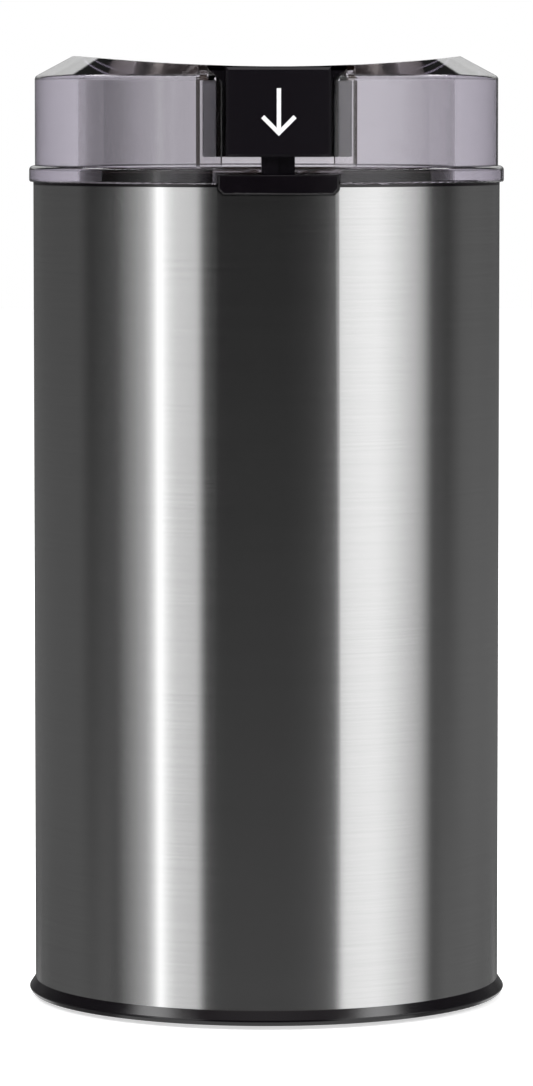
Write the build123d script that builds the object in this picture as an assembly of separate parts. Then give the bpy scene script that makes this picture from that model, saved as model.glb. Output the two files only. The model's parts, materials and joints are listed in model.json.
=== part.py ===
from build123d import *
import os
from math import cos, pi, radians, sin, sqrt, tan

# Electric blade coffee grinder: a brushed steel sleeve over a plastic housing with a universal motor,
# a steel bowl with a two-armed blade, and a clear lid whose front button works the switch.
# Millimetres, +Z up, origin on the ground under the middle, button towards -Y.

# Clearances, and how far a cut runs past what it cuts
RUN_CLEAR = 0.05
NEST_CLEAR = 0.2
SLIDE_CLEAR = 0.3
OVERRUN = 2.0

# Places along each turn of a spring at which its turns are measured against each other
SPOTS_PER_TURN = 16

# Steel sleeve
SLEEVE_R = 48.0
SLEEVE_WALL = 0.6

# Rubber feet
FOOT_R = 5.0
FOOT_PROUD = 0.8
FOOT_SEAT = 0.9
FOOT_INSET = 7.0
FOOT_EDGE = 0.3
FOOT_COUNT = 4
FOOT_START_ANGLE = 45

# Base cover: the flared ring, the floor with its vents and the spigot inside the sleeve
BASE_RING_HEIGHT = 3.0
BASE_FLARE = 1.3
BASE_RIM_ROUND = 0.4
BASE_TOE_HEIGHT = 1.0
BASE_TOE_INSET = 0.6
BASE_HOLLOW = 1.2
BASE_RIM_WALL = 4.0
BASE_FLOOR = 2.0
BASE_SPIGOT_WALL = 2.0
BASE_SPIGOT_HEIGHT = 9.0
VENT_COUNT = 12
VENT_WIDTH = 2.4
VENT_LENGTH = 14.0
VENT_INNER_R = 10.0

# Base screws, driven up into the bosses of the housing
BASE_SCREW_R = 1.4
BASE_SCREW_HEAD_R = 2.8
BASE_SCREW_HEAD = 1.6
BASE_SCREW_SINK = 0.8
BASE_SCREW_LENGTH = 14.0
BASE_SCREW_COUNT = 3
BASE_SCREW_START_ANGLE = -90
CROSS_WIDTH = 0.7
CROSS_DEPTH = 0.7

# Cord gland, clamped at the joint between base spigot and housing
GLAND_BORE_R = 3.3
GLAND_WALL = 1.3
GLAND_FLANGE_R = 6.4
GLAND_FLANGE = 1.0

# Inner housing: wall, deck, bowl pedestal and screw bosses
HOUSING_WALL = 1.8
DECK_WALL = 3.0
DECK_BORE_R = 9.5
PEDESTAL_R = 14.0
PEDESTAL_HEIGHT = 9.4
BOSS_R = 4.0
BOSS_RISE = 16.0
BOSS_RIB = 3.0

# Top collar: lip over the sleeve edge, plate, skirt down to the deck, bowl spigot and front tongue
COLLAR_LIP = 0.6
COLLAR_PLATE = 3.0
SPIGOT_WALL = 1.0
SPIGOT_HEIGHT = 2.1
TONGUE_WIDTH = 24.0
TONGUE_EDGE = 0.4
TONGUE_CORNER = 1.1
TONGUE_RISE = 1.9
TONGUE_DROP = 2.0
TONGUE_PROUD = 0.8

# Grinding bowl
BOWL_WALL = 0.6
BOWL_DEPTH = 40.2
BOWL_CORNER = 7.0

# Bush that clamps the bowl, and the seal on it
BUSH_R = 6.6
BUSH_FLANGE_R = 9.0
BUSH_FLANGE = 1.4
BUSH_LENGTH = 9.0
SEAL_R = 5.6
SEAL_HEIGHT = 1.0

# Lid shell: a thick clear ring, thinner in front of the button's pocket and behind it
LID_INSET = 0.35
LID_WALL = 2.2
LID_FLANGE_PROUD = 0.85
LID_FLANGE_ROUND = 0.9
LID_FLANGE_TOE_ROUND = 0.4
LID_FLANGE_HEIGHT = 3.3
LID_HEIGHT = 21.5
LID_SHOULDER_ROUND = 1.0
LID_CONE_RISE = 4.2
LID_CONE_RUN = 7.85
LID_TOP_WALL = 2.2
RIDGE_ROUND = 0.5
SCOOP_DEPTH = 2.4
SKIRT_WALL = 1.4
SKIRT_CLEAR = 0.4
POCKET_SIDE = 4.0
LEDGE_WALL = 0.9
SLOT_FLARE = 2.6
SLOT_FLARE_DROP = 1.3

# Push button: block, retaining plate behind the wall, stem
BUTTON_WIDTH = 20.7
BUTTON_HEIGHT = 17.7
BUTTON_PROUD = 0.65
BUTTON_EDGE = 0.5
BUTTON_CROWN_R = 110.0
BUTTON_TRAVEL = 2.0
BUTTON_STOP_GAP = 0.3
BUTTON_SIDE_CLEAR = 0.8
BUTTON_BACK_CLEAR = 0.5
PLATE_WALL = 1.6
PLATE_OVERLAP = 0.8
PLATE_TOP_INSET = 1.0
STEM_WIDTH = 6.6
STEM_WALL = 2.4
STEM_STEP = 0.6
STEM_LENGTH = 5.1
STEM_BACK_GAP = 1.8
STEM_COVER = 1.5

# Button spring, in a pocket behind the stem
BUTTON_SPRING_R = 1.05
BUTTON_SPRING_WIRE_R = 0.2
BUTTON_SPRING_TURNS = 8
BUTTON_POCKET_DEPTH = 9.0
SPRING_SEAT_DEPTH = 0.4

# Push rod below the stem, and its return spring
ROD_HEAD_WIDTH = 6.0
ROD_HEAD_WALL = 3.0
ROD_HEAD_HEIGHT = 5.5
ROD_PIN_R = 1.25
ROD_PIN_INSET = 2.2
ROD_SHOULDER_R = 1.9
ROD_SHOULDER = 1.2
ROD_SPRING_R = 1.7
ROD_SPRING_WIRE_R = 0.2
ROD_SPRING_TURNS = 8
ROD_SPRING_LENGTH = 18.0

# Snap switch under the deck, with its lever, pin, plunger, terminals and screws
SWITCH_LENGTH = 18.0
SWITCH_WIDTH = 6.4
SWITCH_HEIGHT = 10.0
SWITCH_DROP = 8.0
SWITCH_OUTER_GAP = 0.7
SWITCH_PLATE = 2.0
LEVER_WALL = 0.5
LEVER_WIDTH = 4.2
LEVER_LIFT = 2.4
LEVER_TIP = 1.3
LEVER_ARM = 15.6
KNUCKLE_R = 0.9
LEVER_PIN_R = 0.4
EAR_WALL = 0.7
EAR_LENGTH = 2.4
PLUNGER_R = 1.0
PLUNGER_ARM = 6.2
PLUNGER_DEPTH = 3.0
PLUNGER_BOTTOM_GAP = 1.2
TERMINAL_WIDTH = 3.2
TERMINAL_WALL = 0.6
TERMINAL_LENGTH = 6.5
TERMINAL_SHARES = (-0.34, 0.0, 0.34)
SWITCH_SCREW_R = 1.0
SWITCH_SCREW_HEAD_R = 1.9
SWITCH_SCREW_HEAD = 1.2
SWITCH_SCREW_SHARES = (-0.3, 0.3)
SWITCH_SCREW_HEIGHT_SHARE = 0.35

# Motor shaft and its bearings
SHAFT_R = 3.0
MOTOR_FLOOR_GAP = 30.5
SHAFT_TAIL = 3.0
SHAFT_TOP = 1.6
SHAFT_EDGE = 0.5
BEARING_R = 6.0
BEARING_HEIGHT = 8.0
HUB_WALL = 2.5

# Motor brackets, held to the stator by two long bolts and to the deck by four rubber mounts
BRACKET_WALL = 3.0
UPPER_BRACKET_OVERHANG = 2.0
UPPER_BRACKET_WIDTH = 34.0
BRACKET_CORNER = 6.0
UPPER_LEG = 18.0
LOWER_LEG = 22.0
LOWER_BRACKET_EDGE = 4.0
LEG_R = 2.9
AIR_HOLE_R = 4.5
AIR_HOLE_CIRCLE_R = 18.0
AIR_HOLE_COUNT = 4
BOLT_R = 1.6
BOLT_EDGE = 3.0
BOLT_HEAD_R = 3.0
BOLT_HEAD = 2.4
NUT_R = 3.2
NUT_HEIGHT = 2.4
NUT_SIDES = 6
MOUNT_R = 5.0
MOUNT_HEIGHT = 7.0
MOUNT_SPACING_X = 44.0
MOUNT_SPACING_Y = 22.0
MOUNT_SCREW_R = 1.5
MOUNT_SCREW_HEAD_R = 3.2
MOUNT_SCREW_HEAD = 2.0

# Stator and field coils
STACK_HEIGHT = 24.0
STATOR_LENGTH = 56.0
STATOR_WIDTH = 46.0
STATOR_CORNER = 8.0
POLE_DEPTH = 12.4
WINDOW_LENGTH = 8.0
WINDOW_WIDTH = 7.0
WINDOW_OUT = 6.0
WINDOW_SIDE = 4.5
COIL_CLEAR = 0.4
COIL_OVERHANG = 6.0
COIL_CORNER = 3.0

# Armature, commutator, fan and thrust washers
AIR_GAP = 0.4
ARMATURE_SLOTS = 10
ARMATURE_SLOT_WIDTH = 2.4
ARMATURE_SLOT_DEPTH = 6.0
WIRE_CLEAR = 0.2
WINDING_INSET = 2.0
WINDING_HEIGHT = 6.0
WINDING_ROUND = 2.0
COMMUTATOR_R = 8.5
COMMUTATOR_HEIGHT = 9.0
COMMUTATOR_GROOVES = 20
COMMUTATOR_GROOVE_WIDTH = 0.5
COMMUTATOR_GROOVE_DEPTH = 0.7
FAN_BOLT_GAP = 6.0
FAN_WALL = 1.4
FAN_HEIGHT = 6.0
FAN_HUB_R = 6.0
FAN_BLADES = 9
FAN_BLADE_WALL = 1.4
FAN_GAP = 2.0
WASHER_R = 5.4
WASHER_WALL = 0.6

# Brushes with their holders and springs, across the commutator along Y
BRUSH_WIDTH = 5.0
BRUSH_HEIGHT = 6.0
BRUSH_LENGTH = 9.0
BRUSH_GAP = 0.08
HOLDER_WALL = 0.6
HOLDER_STANDOFF = 2.4
HOLDER_LENGTH = 14.5
BRUSH_SPRING_R = 1.6
BRUSH_SPRING_WIRE_R = 0.2
BRUSH_SPRING_TURNS = 4

# Blade, hub and nut
HUB_R = 7.0
HUB_TOP_R = 5.4
HUB_HEIGHT = 4.6
HUB_GAP = 0.6
BLADE_TIP_GAP = 5.6
BLADE_WIDTH = 11.0
BLADE_TIP_WIDTH = 7.0
BLADE_WALL = 1.6
BLADE_LIFT = 4.0
BLADE_BEND_SHARE = 0.55
BLADE_NUT_R = 5.2
BLADE_NUT_HEIGHT = 4.4
BLADE_NUT_CAP = 1.6

# Terminal block and capacitor on the base floor, and the inner leads
BLOCK_LENGTH = 18.0
BLOCK_WIDTH = 9.0
BLOCK_HEIGHT = 10.0
BLOCK_INSET = 15.0
BLOCK_SCREW_R = 1.6
BLOCK_SCREW_DEPTH = 3.0
BLOCK_SCREW_SPACING = 8.0
CAPACITOR_LENGTH = 18.0
CAPACITOR_WIDTH = 8.0
CAPACITOR_HEIGHT = 14.0
CAPACITOR_EDGE = 1.0
CAPACITOR_X = -24.0
LEAD_R = 0.9
LEAD_BEND_SHARE = 0.45

# Heights from the ground, worked up from the base through the motor to the seat of the lid
base_bottom = FOOT_PROUD
sleeve_bottom = base_bottom + BASE_RING_HEIGHT
floor_bottom = base_bottom + BASE_HOLLOW
floor_top = floor_bottom + BASE_FLOOR
housing_bottom = sleeve_bottom + BASE_SPIGOT_HEIGHT
shaft_bottom = floor_top + MOTOR_FLOOR_GAP
lower_hub_bottom = shaft_bottom + SHAFT_TAIL
lower_hub_top = lower_hub_bottom + BEARING_HEIGHT
lower_plate_top = lower_hub_top - BRACKET_WALL / 2
lower_plate_bottom = lower_plate_top - BRACKET_WALL
stack_bottom = lower_plate_top + LOWER_LEG
stack_top = stack_bottom + STACK_HEIGHT
upper_plate_bottom = stack_top + UPPER_LEG
upper_plate_top = upper_plate_bottom + BRACKET_WALL
deck_bottom = upper_plate_top + MOUNT_HEIGHT
deck_top = deck_bottom + DECK_WALL
bowl_bottom = deck_top + PEDESTAL_HEIGHT
bowl_floor = bowl_bottom + BOWL_WALL
spigot_top = bowl_bottom + BOWL_DEPTH
seat_top = spigot_top - SPIGOT_HEIGHT

# Heights around the seat of the lid
sleeve_top = seat_top - COLLAR_LIP
plate_bottom = seat_top - COLLAR_PLATE
tongue_top = seat_top + TONGUE_RISE
tongue_bottom = seat_top - TONGUE_DROP

# Heights above the bowl floor
bush_top = bowl_floor + BUSH_FLANGE
seal_top = bush_top + SEAL_HEIGHT
hub_bottom = seal_top + HUB_GAP
blade_bottom = hub_bottom + HUB_HEIGHT
blade_top = blade_bottom + BLADE_WALL
nut_top = blade_top + BLADE_NUT_HEIGHT

# Radii of the button's stack behind the sleeve, worked inwards: the bowl takes what they leave
stem_front = SLEEVE_R - STEM_COVER
stem_back = stem_front - STEM_WALL
button_back = stem_back - STEM_BACK_GAP - PLATE_WALL
slot_back = button_back - SLIDE_CLEAR
skirt_out_r = button_back - BUTTON_BACK_CLEAR
skirt_in_r = skirt_out_r - SKIRT_WALL
spigot_out_r = skirt_in_r - SKIRT_CLEAR
spigot_in_r = spigot_out_r - SPIGOT_WALL
bowl_out_r = spigot_in_r - NEST_CLEAR
bowl_r = bowl_out_r - BOWL_WALL

# Other radii
sleeve_in_r = SLEEVE_R - SLEEVE_WALL
nest_r = sleeve_in_r - NEST_CLEAR
housing_in_r = nest_r - HOUSING_WALL
base_spigot_in_r = nest_r - BASE_SPIGOT_WALL
boss_circle_r = base_spigot_in_r - SLIDE_CLEAR - BOSS_R
foot_circle_r = SLEEVE_R - FOOT_INSET - FOOT_R
lid_r = SLEEVE_R - LID_INSET
lid_in_r = lid_r - LID_WALL
ridge_r = lid_r - LID_CONE_RUN
flange_r = SLEEVE_R + LID_FLANGE_PROUD
tongue_r = SLEEVE_R + TONGUE_PROUD
hub_out_r = BEARING_R + HUB_WALL
gland_barrel_r = GLAND_BORE_R + GLAND_WALL
blade_tip_r = bowl_r - BLADE_TIP_GAP

# Heights in the lid
lid_shoulder = seat_top + LID_HEIGHT
ridge_top = lid_shoulder + LID_CONE_RISE
scoop_low = ridge_top - SCOOP_DEPTH
scoop_r = (ridge_r ** 2 + SCOOP_DEPTH ** 2) / (2 * SCOOP_DEPTH)
cone_slope = LID_CONE_RISE / LID_CONE_RUN
ledge_bottom = tongue_top + SLIDE_CLEAR
ledge_top = ledge_bottom + LEDGE_WALL
button_bottom = ledge_top + BUTTON_TRAVEL + BUTTON_STOP_GAP
button_top = button_bottom + BUTTON_HEIGHT
stem_tip = button_bottom - STEM_LENGTH
flare_low = lid_shoulder - SLOT_FLARE_DROP
plate_top = lid_shoulder - PLATE_TOP_INSET
ear_top = plate_top + BUTTON_TRAVEL

# Places along Y of the button and what lies below it, as distances in front of the axis
button_front = lid_r + BUTTON_PROUD
spring_line = (button_back + stem_back) / 2
rod_back = stem_back - (ROD_HEAD_WALL - STEM_WALL) - STEM_STEP
rod_front = rod_back + ROD_HEAD_WALL
rod_line = housing_in_r - ROD_PIN_INSET
rod_top = stem_tip - SLIDE_CLEAR
rod_head_bottom = rod_top - ROD_HEAD_HEIGHT
slot_half = BUTTON_WIDTH / 2 + BUTTON_SIDE_CLEAR
plate_half = slot_half + PLATE_OVERLAP
pocket_half = slot_half + POCKET_SIDE
ear_half = slot_half + SLOT_FLARE - SLIDE_CLEAR

# Places of the switch and its lever, which lies along Y under the rod
switch_top = deck_bottom - SWITCH_DROP
switch_bottom = switch_top - SWITCH_HEIGHT
switch_front = rod_line - SWITCH_OUTER_GAP
switch_back = switch_front - SWITCH_LENGTH
lever_line = rod_line - LEVER_ARM
lever_height = switch_top + LEVER_LIFT
lever_top = lever_height + LEVER_WALL / 2
lever_bottom = lever_height - LEVER_WALL / 2
rod_bottom = lever_top + SLIDE_CLEAR
plunger_line = lever_line + PLUNGER_ARM

# Heights along the rotor
upper_hub_bottom = upper_plate_top - BEARING_HEIGHT / 2 - BRACKET_WALL / 2
upper_hub_top = upper_hub_bottom + BEARING_HEIGHT
commutator_bottom = lower_hub_top + WASHER_WALL
commutator_top = commutator_bottom + COMMUTATOR_HEIGHT
brush_height = commutator_bottom + COMMUTATOR_HEIGHT / 2
coil_reach = COIL_CLEAR + COIL_OVERHANG
fan_bottom = stack_top + coil_reach + FAN_GAP
shaft_top = nut_top + SHAFT_TOP
stator_bore_r = STATOR_LENGTH / 2 - POLE_DEPTH
armature_r = stator_bore_r - AIR_GAP
winding_r = armature_r - WINDING_INSET
bolt_x = STATOR_LENGTH / 2 - BOLT_EDGE
fan_r = bolt_x - FAN_BOLT_GAP
holder_inner_y = COMMUTATOR_R + HOLDER_STANDOFF
holder_outer_y = holder_inner_y + HOLDER_LENGTH


def disc(radius, low, high, place=(0, 0)):
    """A cylinder along Z between two heights."""
    x, y = place
    return Pos(x, y, low) * Cylinder(radius, high - low, align=(Align.CENTER, Align.CENTER, Align.MIN))


def tube(outer, inner, low, high, place=(0, 0)):
    """A ring along Z between two heights."""
    return disc(outer, low, high, place) - disc(inner, low - OVERRUN, high + OVERRUN, place)


def block(x, y, z):
    """A box between three pairs of limits."""
    size = Box(x[1] - x[0], y[1] - y[0], z[1] - z[0], align=(Align.MIN, Align.MIN, Align.MIN))
    return Pos(x[0], y[0], z[0]) * size


def front_block(half, near, far, low, high):
    """A box centred on X, between two distances in front of the axis."""
    return block((-half, half), (-far, -near), (low, high))


def along_y(radius, y, x, z):
    """A cylinder along Y between two places."""
    solid = Cylinder(radius, y[1] - y[0], align=(Align.CENTER, Align.CENTER, Align.MIN))
    return Pos(x, y[0], z) * Rot(-90, 0, 0) * solid


def along_x(radius, x, y, z):
    """A cylinder along X between two places."""
    solid = Cylinder(radius, x[1] - x[0], align=(Align.CENTER, Align.CENTER, Align.MIN))
    return Pos(x[0], y, z) * Rot(0, 90, 0) * solid


def lathe(points):
    """A solid turned about Z from an outline of radii and heights."""
    return revolve(make_face(Plane.XZ * Polyline(points, close=True)), Axis.Z)


def front_prism(points, near, far):
    """An outline in X and Z, drawn out between two distances in front of the axis."""
    face = make_face(Plane.XZ * Polyline(points, close=True))
    return Pos(0, -near, 0) * extrude(face, amount=far - near, dir=(0, -1, 0))


def around(count, radius, start=0):
    """Places evenly spaced on a circle, with the angle of each."""
    angles = [start + 360 * i / count for i in range(count)]
    return [(radius * cos(radians(a)), radius * sin(radians(a)), a) for a in angles]


def rectangle_places(length, width):
    """The four corners of a rectangle about the axis."""
    return [(sx * length / 2, sy * width / 2) for sx in (-1, 1) for sy in (-1, 1)]


def group(solids):
    """Separate like solids kept together in one node."""
    return Compound(children=solids)


def biarc(start, start_way, end, end_way):
    """Two arcs that leave a point one way and reach another point another way."""
    span = end - start
    ways = start_way + end_way
    a = 2 * (1 - start_way.dot(end_way))
    b = 2 * span.dot(ways)
    reach = (sqrt(b * b + 4 * a * span.dot(span)) - b) / (2 * a)
    middle = (start + start_way * reach + end - end_way * reach) * 0.5
    middle_way = (end - end_way * reach - start - start_way * reach).normalized()
    return [TangentArc(start, middle, tangent=start_way), TangentArc(middle, end, tangent=middle_way)]


def coil_spring(radius, wire_r, length, turns):
    """A helical spring standing on the origin, its wire swept quarter turn by quarter turn."""
    pitch = (length - 2 * wire_r) / turns
    way_length = sqrt((2 * pi * radius) ** 2 + pitch ** 2)

    def point(quarter):
        angle = quarter * pi / 2
        return Vector(radius * cos(angle), radius * sin(angle), wire_r + pitch * quarter / 4)

    def way(quarter):
        angle = quarter * pi / 2
        flat = 2 * pi * radius / way_length
        return Vector(-sin(angle) * flat, cos(angle) * flat, pitch / way_length)

    arcs = []
    for quarter in range(4 * turns):
        arcs += biarc(point(quarter), way(quarter), point(quarter + 1), way(quarter + 1))
    spots = [point(4 * spot / SPOTS_PER_TURN) for spot in range(turns * SPOTS_PER_TURN + 1)]
    apart = [(a - b).length for i, a in enumerate(spots) for b in spots[i + SPOTS_PER_TURN // 2:]]
    print("spring, least gap between turns:", round(min(apart) - 2 * wire_r, 2), "mm")
    section = Plane(origin=point(0), z_dir=way(0)) * Circle(wire_r)
    return sweep(section, path=Wire([arc.edge() for arc in arcs]))


def screw(radius, head_r, head, length):
    """A screw standing head down on the origin, with a cross in its head."""
    cross = block((-head_r, head_r), (-CROSS_WIDTH / 2, CROSS_WIDTH / 2), (0, CROSS_DEPTH))
    return disc(head_r, 0, head) + disc(radius, head, head + length) - cross - Rot(0, 0, 90) * cross


# The still body: feet, base, sleeve, housing, collar, bowl, gland
def rubber_feet():
    foot = chamfer(disc(FOOT_R, 0, floor_bottom + FOOT_SEAT).edges().group_by(Axis.Z)[0], FOOT_EDGE)
    return group([Pos(x, y, 0) * foot for x, y, _ in around(FOOT_COUNT, foot_circle_r, FOOT_START_ANGLE)])


def base_cover():
    rim_r = SLEEVE_R + BASE_FLARE
    rim_in_r = rim_r - BASE_RIM_WALL
    outline = make_face(Plane.XZ * Polyline([
        (0, floor_bottom), (rim_in_r, floor_bottom), (rim_in_r, base_bottom),
        (rim_r - BASE_TOE_INSET, base_bottom), (rim_r, base_bottom + BASE_TOE_HEIGHT),
        (SLEEVE_R, sleeve_bottom), (nest_r, sleeve_bottom), (nest_r, housing_bottom),
        (base_spigot_in_r, housing_bottom), (base_spigot_in_r, floor_top), (0, floor_top)], close=True))
    rim = outline.vertices().sort_by(Axis.X)[-2:]
    cover = revolve(fillet(rim, BASE_RIM_ROUND), Axis.Z)
    cover -= along_y(gland_barrel_r, (0, SLEEVE_R), 0, housing_bottom)
    for x, y, _ in around(FOOT_COUNT, foot_circle_r, FOOT_START_ANGLE):
        cover -= disc(FOOT_R, floor_bottom - OVERRUN, floor_bottom + FOOT_SEAT, (x, y))
    for x, y, _ in around(BASE_SCREW_COUNT, boss_circle_r, BASE_SCREW_START_ANGLE):
        hole_r = BASE_SCREW_R + NEST_CLEAR
        sink_r = BASE_SCREW_HEAD_R + NEST_CLEAR
        cover -= disc(hole_r, floor_bottom - OVERRUN, floor_top + OVERRUN, (x, y))
        cover -= disc(sink_r, floor_bottom - OVERRUN, floor_bottom + BASE_SCREW_SINK, (x, y))
    vent = block((VENT_INNER_R, VENT_INNER_R + VENT_LENGTH), (-VENT_WIDTH / 2, VENT_WIDTH / 2),
                 (floor_bottom - OVERRUN, floor_top + OVERRUN))
    for _, _, angle in around(VENT_COUNT, VENT_INNER_R):
        cover -= Rot(0, 0, angle) * vent
    return cover


def base_screws():
    seat = floor_bottom + BASE_SCREW_SINK - BASE_SCREW_HEAD
    one = screw(BASE_SCREW_R, BASE_SCREW_HEAD_R, BASE_SCREW_HEAD, BASE_SCREW_LENGTH)
    places = around(BASE_SCREW_COUNT, boss_circle_r, BASE_SCREW_START_ANGLE)
    return group([Pos(x, y, seat) * one for x, y, _ in places])


def tongue_outline(grow):
    half = TONGUE_WIDTH / 2 + grow
    low = tongue_bottom - grow
    return [(-half, tongue_top), (half, tongue_top), (half, low + TONGUE_CORNER),
            (half - TONGUE_CORNER, low), (TONGUE_CORNER - half, low), (-half, low + TONGUE_CORNER)]


def steel_sleeve():
    sleeve = tube(SLEEVE_R, sleeve_in_r, sleeve_bottom, sleeve_top)
    sleeve -= front_prism(tongue_outline(NEST_CLEAR), housing_in_r / 2, SLEEVE_R + OVERRUN)
    return sleeve - along_y(gland_barrel_r + NEST_CLEAR, (0, SLEEVE_R + OVERRUN), 0, housing_bottom)


def cord_gland():
    outer = SLEEVE_R + GLAND_FLANGE
    inner = sqrt(base_spigot_in_r ** 2 - GLAND_FLANGE_R ** 2) - SLIDE_CLEAR
    gland = along_y(gland_barrel_r, (inner, outer), 0, housing_bottom)
    gland += along_y(GLAND_FLANGE_R, (SLEEVE_R, outer), 0, housing_bottom)
    gland += along_y(GLAND_FLANGE_R, (inner - GLAND_FLANGE, inner), 0, housing_bottom)
    bore = along_y(GLAND_BORE_R, (inner - GLAND_FLANGE - OVERRUN, outer + OVERRUN), 0, housing_bottom)
    return gland - bore


def switch_bracket():
    plate = block((SWITCH_WIDTH / 2, SWITCH_WIDTH / 2 + SWITCH_PLATE), (-switch_front, -switch_back),
                  (switch_bottom, deck_bottom))
    for y, z in switch_screw_places():
        plate -= along_x(SWITCH_SCREW_R + RUN_CLEAR, (0, SWITCH_WIDTH), y, z)
    return plate


def inner_housing():
    housing = tube(nest_r, housing_in_r, housing_bottom, deck_bottom)
    housing += disc(nest_r, deck_bottom, deck_top) + disc(PEDESTAL_R, deck_top, bowl_bottom)
    housing -= disc(BUSH_R + NEST_CLEAR, deck_bottom - OVERRUN, bowl_bottom + OVERRUN)
    housing -= disc(DECK_BORE_R, deck_bottom - OVERRUN, deck_top)
    boss_top = housing_bottom + BOSS_RISE
    for x, y, angle in around(BASE_SCREW_COUNT, boss_circle_r, BASE_SCREW_START_ANGLE):
        rib = block((boss_circle_r, housing_in_r + HOUSING_WALL / 2), (-BOSS_RIB / 2, BOSS_RIB / 2),
                    (housing_bottom, boss_top))
        housing += disc(BOSS_R, floor_top, boss_top, (x, y)) + Rot(0, 0, angle) * rib
        housing -= disc(BASE_SCREW_R + RUN_CLEAR, floor_top - OVERRUN, boss_top - OVERRUN, (x, y))
    for place in rectangle_places(MOUNT_SPACING_X, MOUNT_SPACING_Y):
        housing -= disc(MOUNT_SCREW_R + NEST_CLEAR, deck_bottom - OVERRUN, deck_top + OVERRUN, place)
    housing -= disc(ROD_PIN_R + SLIDE_CLEAR, deck_bottom - OVERRUN, deck_top + OVERRUN, (0, -rod_line))
    housing -= along_y(gland_barrel_r, (0, SLEEVE_R), 0, housing_bottom)
    return housing + switch_bracket()


def stem_well():
    half = STEM_WIDTH / 2 + SLIDE_CLEAR
    low = rod_head_bottom - BUTTON_TRAVEL - BUTTON_STOP_GAP
    return front_block(half, rod_back - SLIDE_CLEAR, stem_front + SLIDE_CLEAR, low, tongue_top + OVERRUN)


def top_collar():
    collar = lathe([
        (spigot_in_r, plate_bottom), (housing_in_r, plate_bottom), (housing_in_r, deck_top),
        (nest_r, deck_top), (nest_r, sleeve_top), (SLEEVE_R, sleeve_top), (SLEEVE_R, seat_top),
        (spigot_out_r, seat_top), (spigot_out_r, spigot_top), (spigot_in_r, spigot_top)])
    tongue = front_prism(tongue_outline(0), button_back, tongue_r)
    tongue &= disc(tongue_r, tongue_bottom, tongue_top)
    tongue = fillet(tongue.faces().sort_by(Axis.Y)[0].edges(), TONGUE_EDGE)
    return collar + tongue - stem_well()


def grinding_bowl():
    outer = fillet(disc(bowl_out_r, bowl_bottom, spigot_top).edges().group_by(Axis.Z)[0], BOWL_CORNER)
    rim = disc(spigot_out_r, spigot_top, spigot_top + BOWL_WALL)
    inner = disc(bowl_r, bowl_floor, spigot_top + BOWL_WALL + OVERRUN)
    inner = fillet(inner.edges().group_by(Axis.Z)[0], BOWL_CORNER - BOWL_WALL)
    return outer + rim - inner - disc(BUSH_R + NEST_CLEAR, bowl_bottom - OVERRUN, bowl_floor + OVERRUN)


def bowl_bush():
    bush = disc(BUSH_R, bush_top - BUSH_LENGTH, bush_top) + disc(BUSH_FLANGE_R, bowl_floor, bush_top)
    return bush - disc(SHAFT_R + SLIDE_CLEAR, bush_top - BUSH_LENGTH - OVERRUN, bush_top + OVERRUN)


def shaft_seal():
    return tube(SEAL_R, SHAFT_R + RUN_CLEAR, bush_top, seal_top)


# The lid, its button and spring
def scoop(deeper):
    solid = Cylinder(scoop_r + deeper, 2 * (SLEEVE_R + OVERRUN))
    return Pos(0, 0, scoop_low + scoop_r) * Rot(90, 0, 0) * solid


def lid_envelope():
    flange_top = seat_top + LID_FLANGE_HEIGHT
    outline = make_face(Plane.XZ * Polyline([
        (0, seat_top), (flange_r, seat_top), (flange_r, flange_top), (lid_r, flange_top),
        (lid_r, lid_shoulder), (0, lid_shoulder + lid_r * cone_slope)], close=True))
    outline = fillet(outline.vertices().sort_by(Axis.Z)[-2], LID_SHOULDER_ROUND)
    rim = outline.vertices().group_by(Axis.X)[-1].sort_by(Axis.Z)
    outline = fillet(rim[-1], LID_FLANGE_ROUND)
    rim = outline.vertices().group_by(Axis.X)[-1].sort_by(Axis.Z)
    solid = revolve(fillet(rim[0], LID_FLANGE_TOE_ROUND), Axis.Z) - scoop(0)
    ridges = solid.edges().filter_by(lambda edge: edge.center().Z > scoop_low - RIDGE_ROUND)
    return fillet(ridges, RIDGE_ROUND)


def button_pocket():
    """The space in the ring, behind its outer wall, in which the button's retaining plate slides."""
    under_cone = lid_shoulder - LID_TOP_WALL
    ring = lathe([
        (skirt_out_r, ledge_top), (lid_in_r, ledge_top), (lid_in_r, under_cone + LID_WALL * cone_slope),
        (skirt_out_r, under_cone + (lid_r - skirt_out_r) * cone_slope)]) - scoop(LID_TOP_WALL)
    return ring & front_block(pocket_half, 0, lid_r, ledge_top, ridge_top)


def slot_outline():
    top = ridge_top + OVERRUN
    flare_top = flare_low + SLOT_FLARE
    wide = slot_half + SLOT_FLARE
    return [(-slot_half, ledge_top), (slot_half, ledge_top), (slot_half, flare_low), (wide, flare_top),
            (wide, top), (-wide, top), (-wide, flare_top), (-slot_half, flare_low)]


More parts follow.
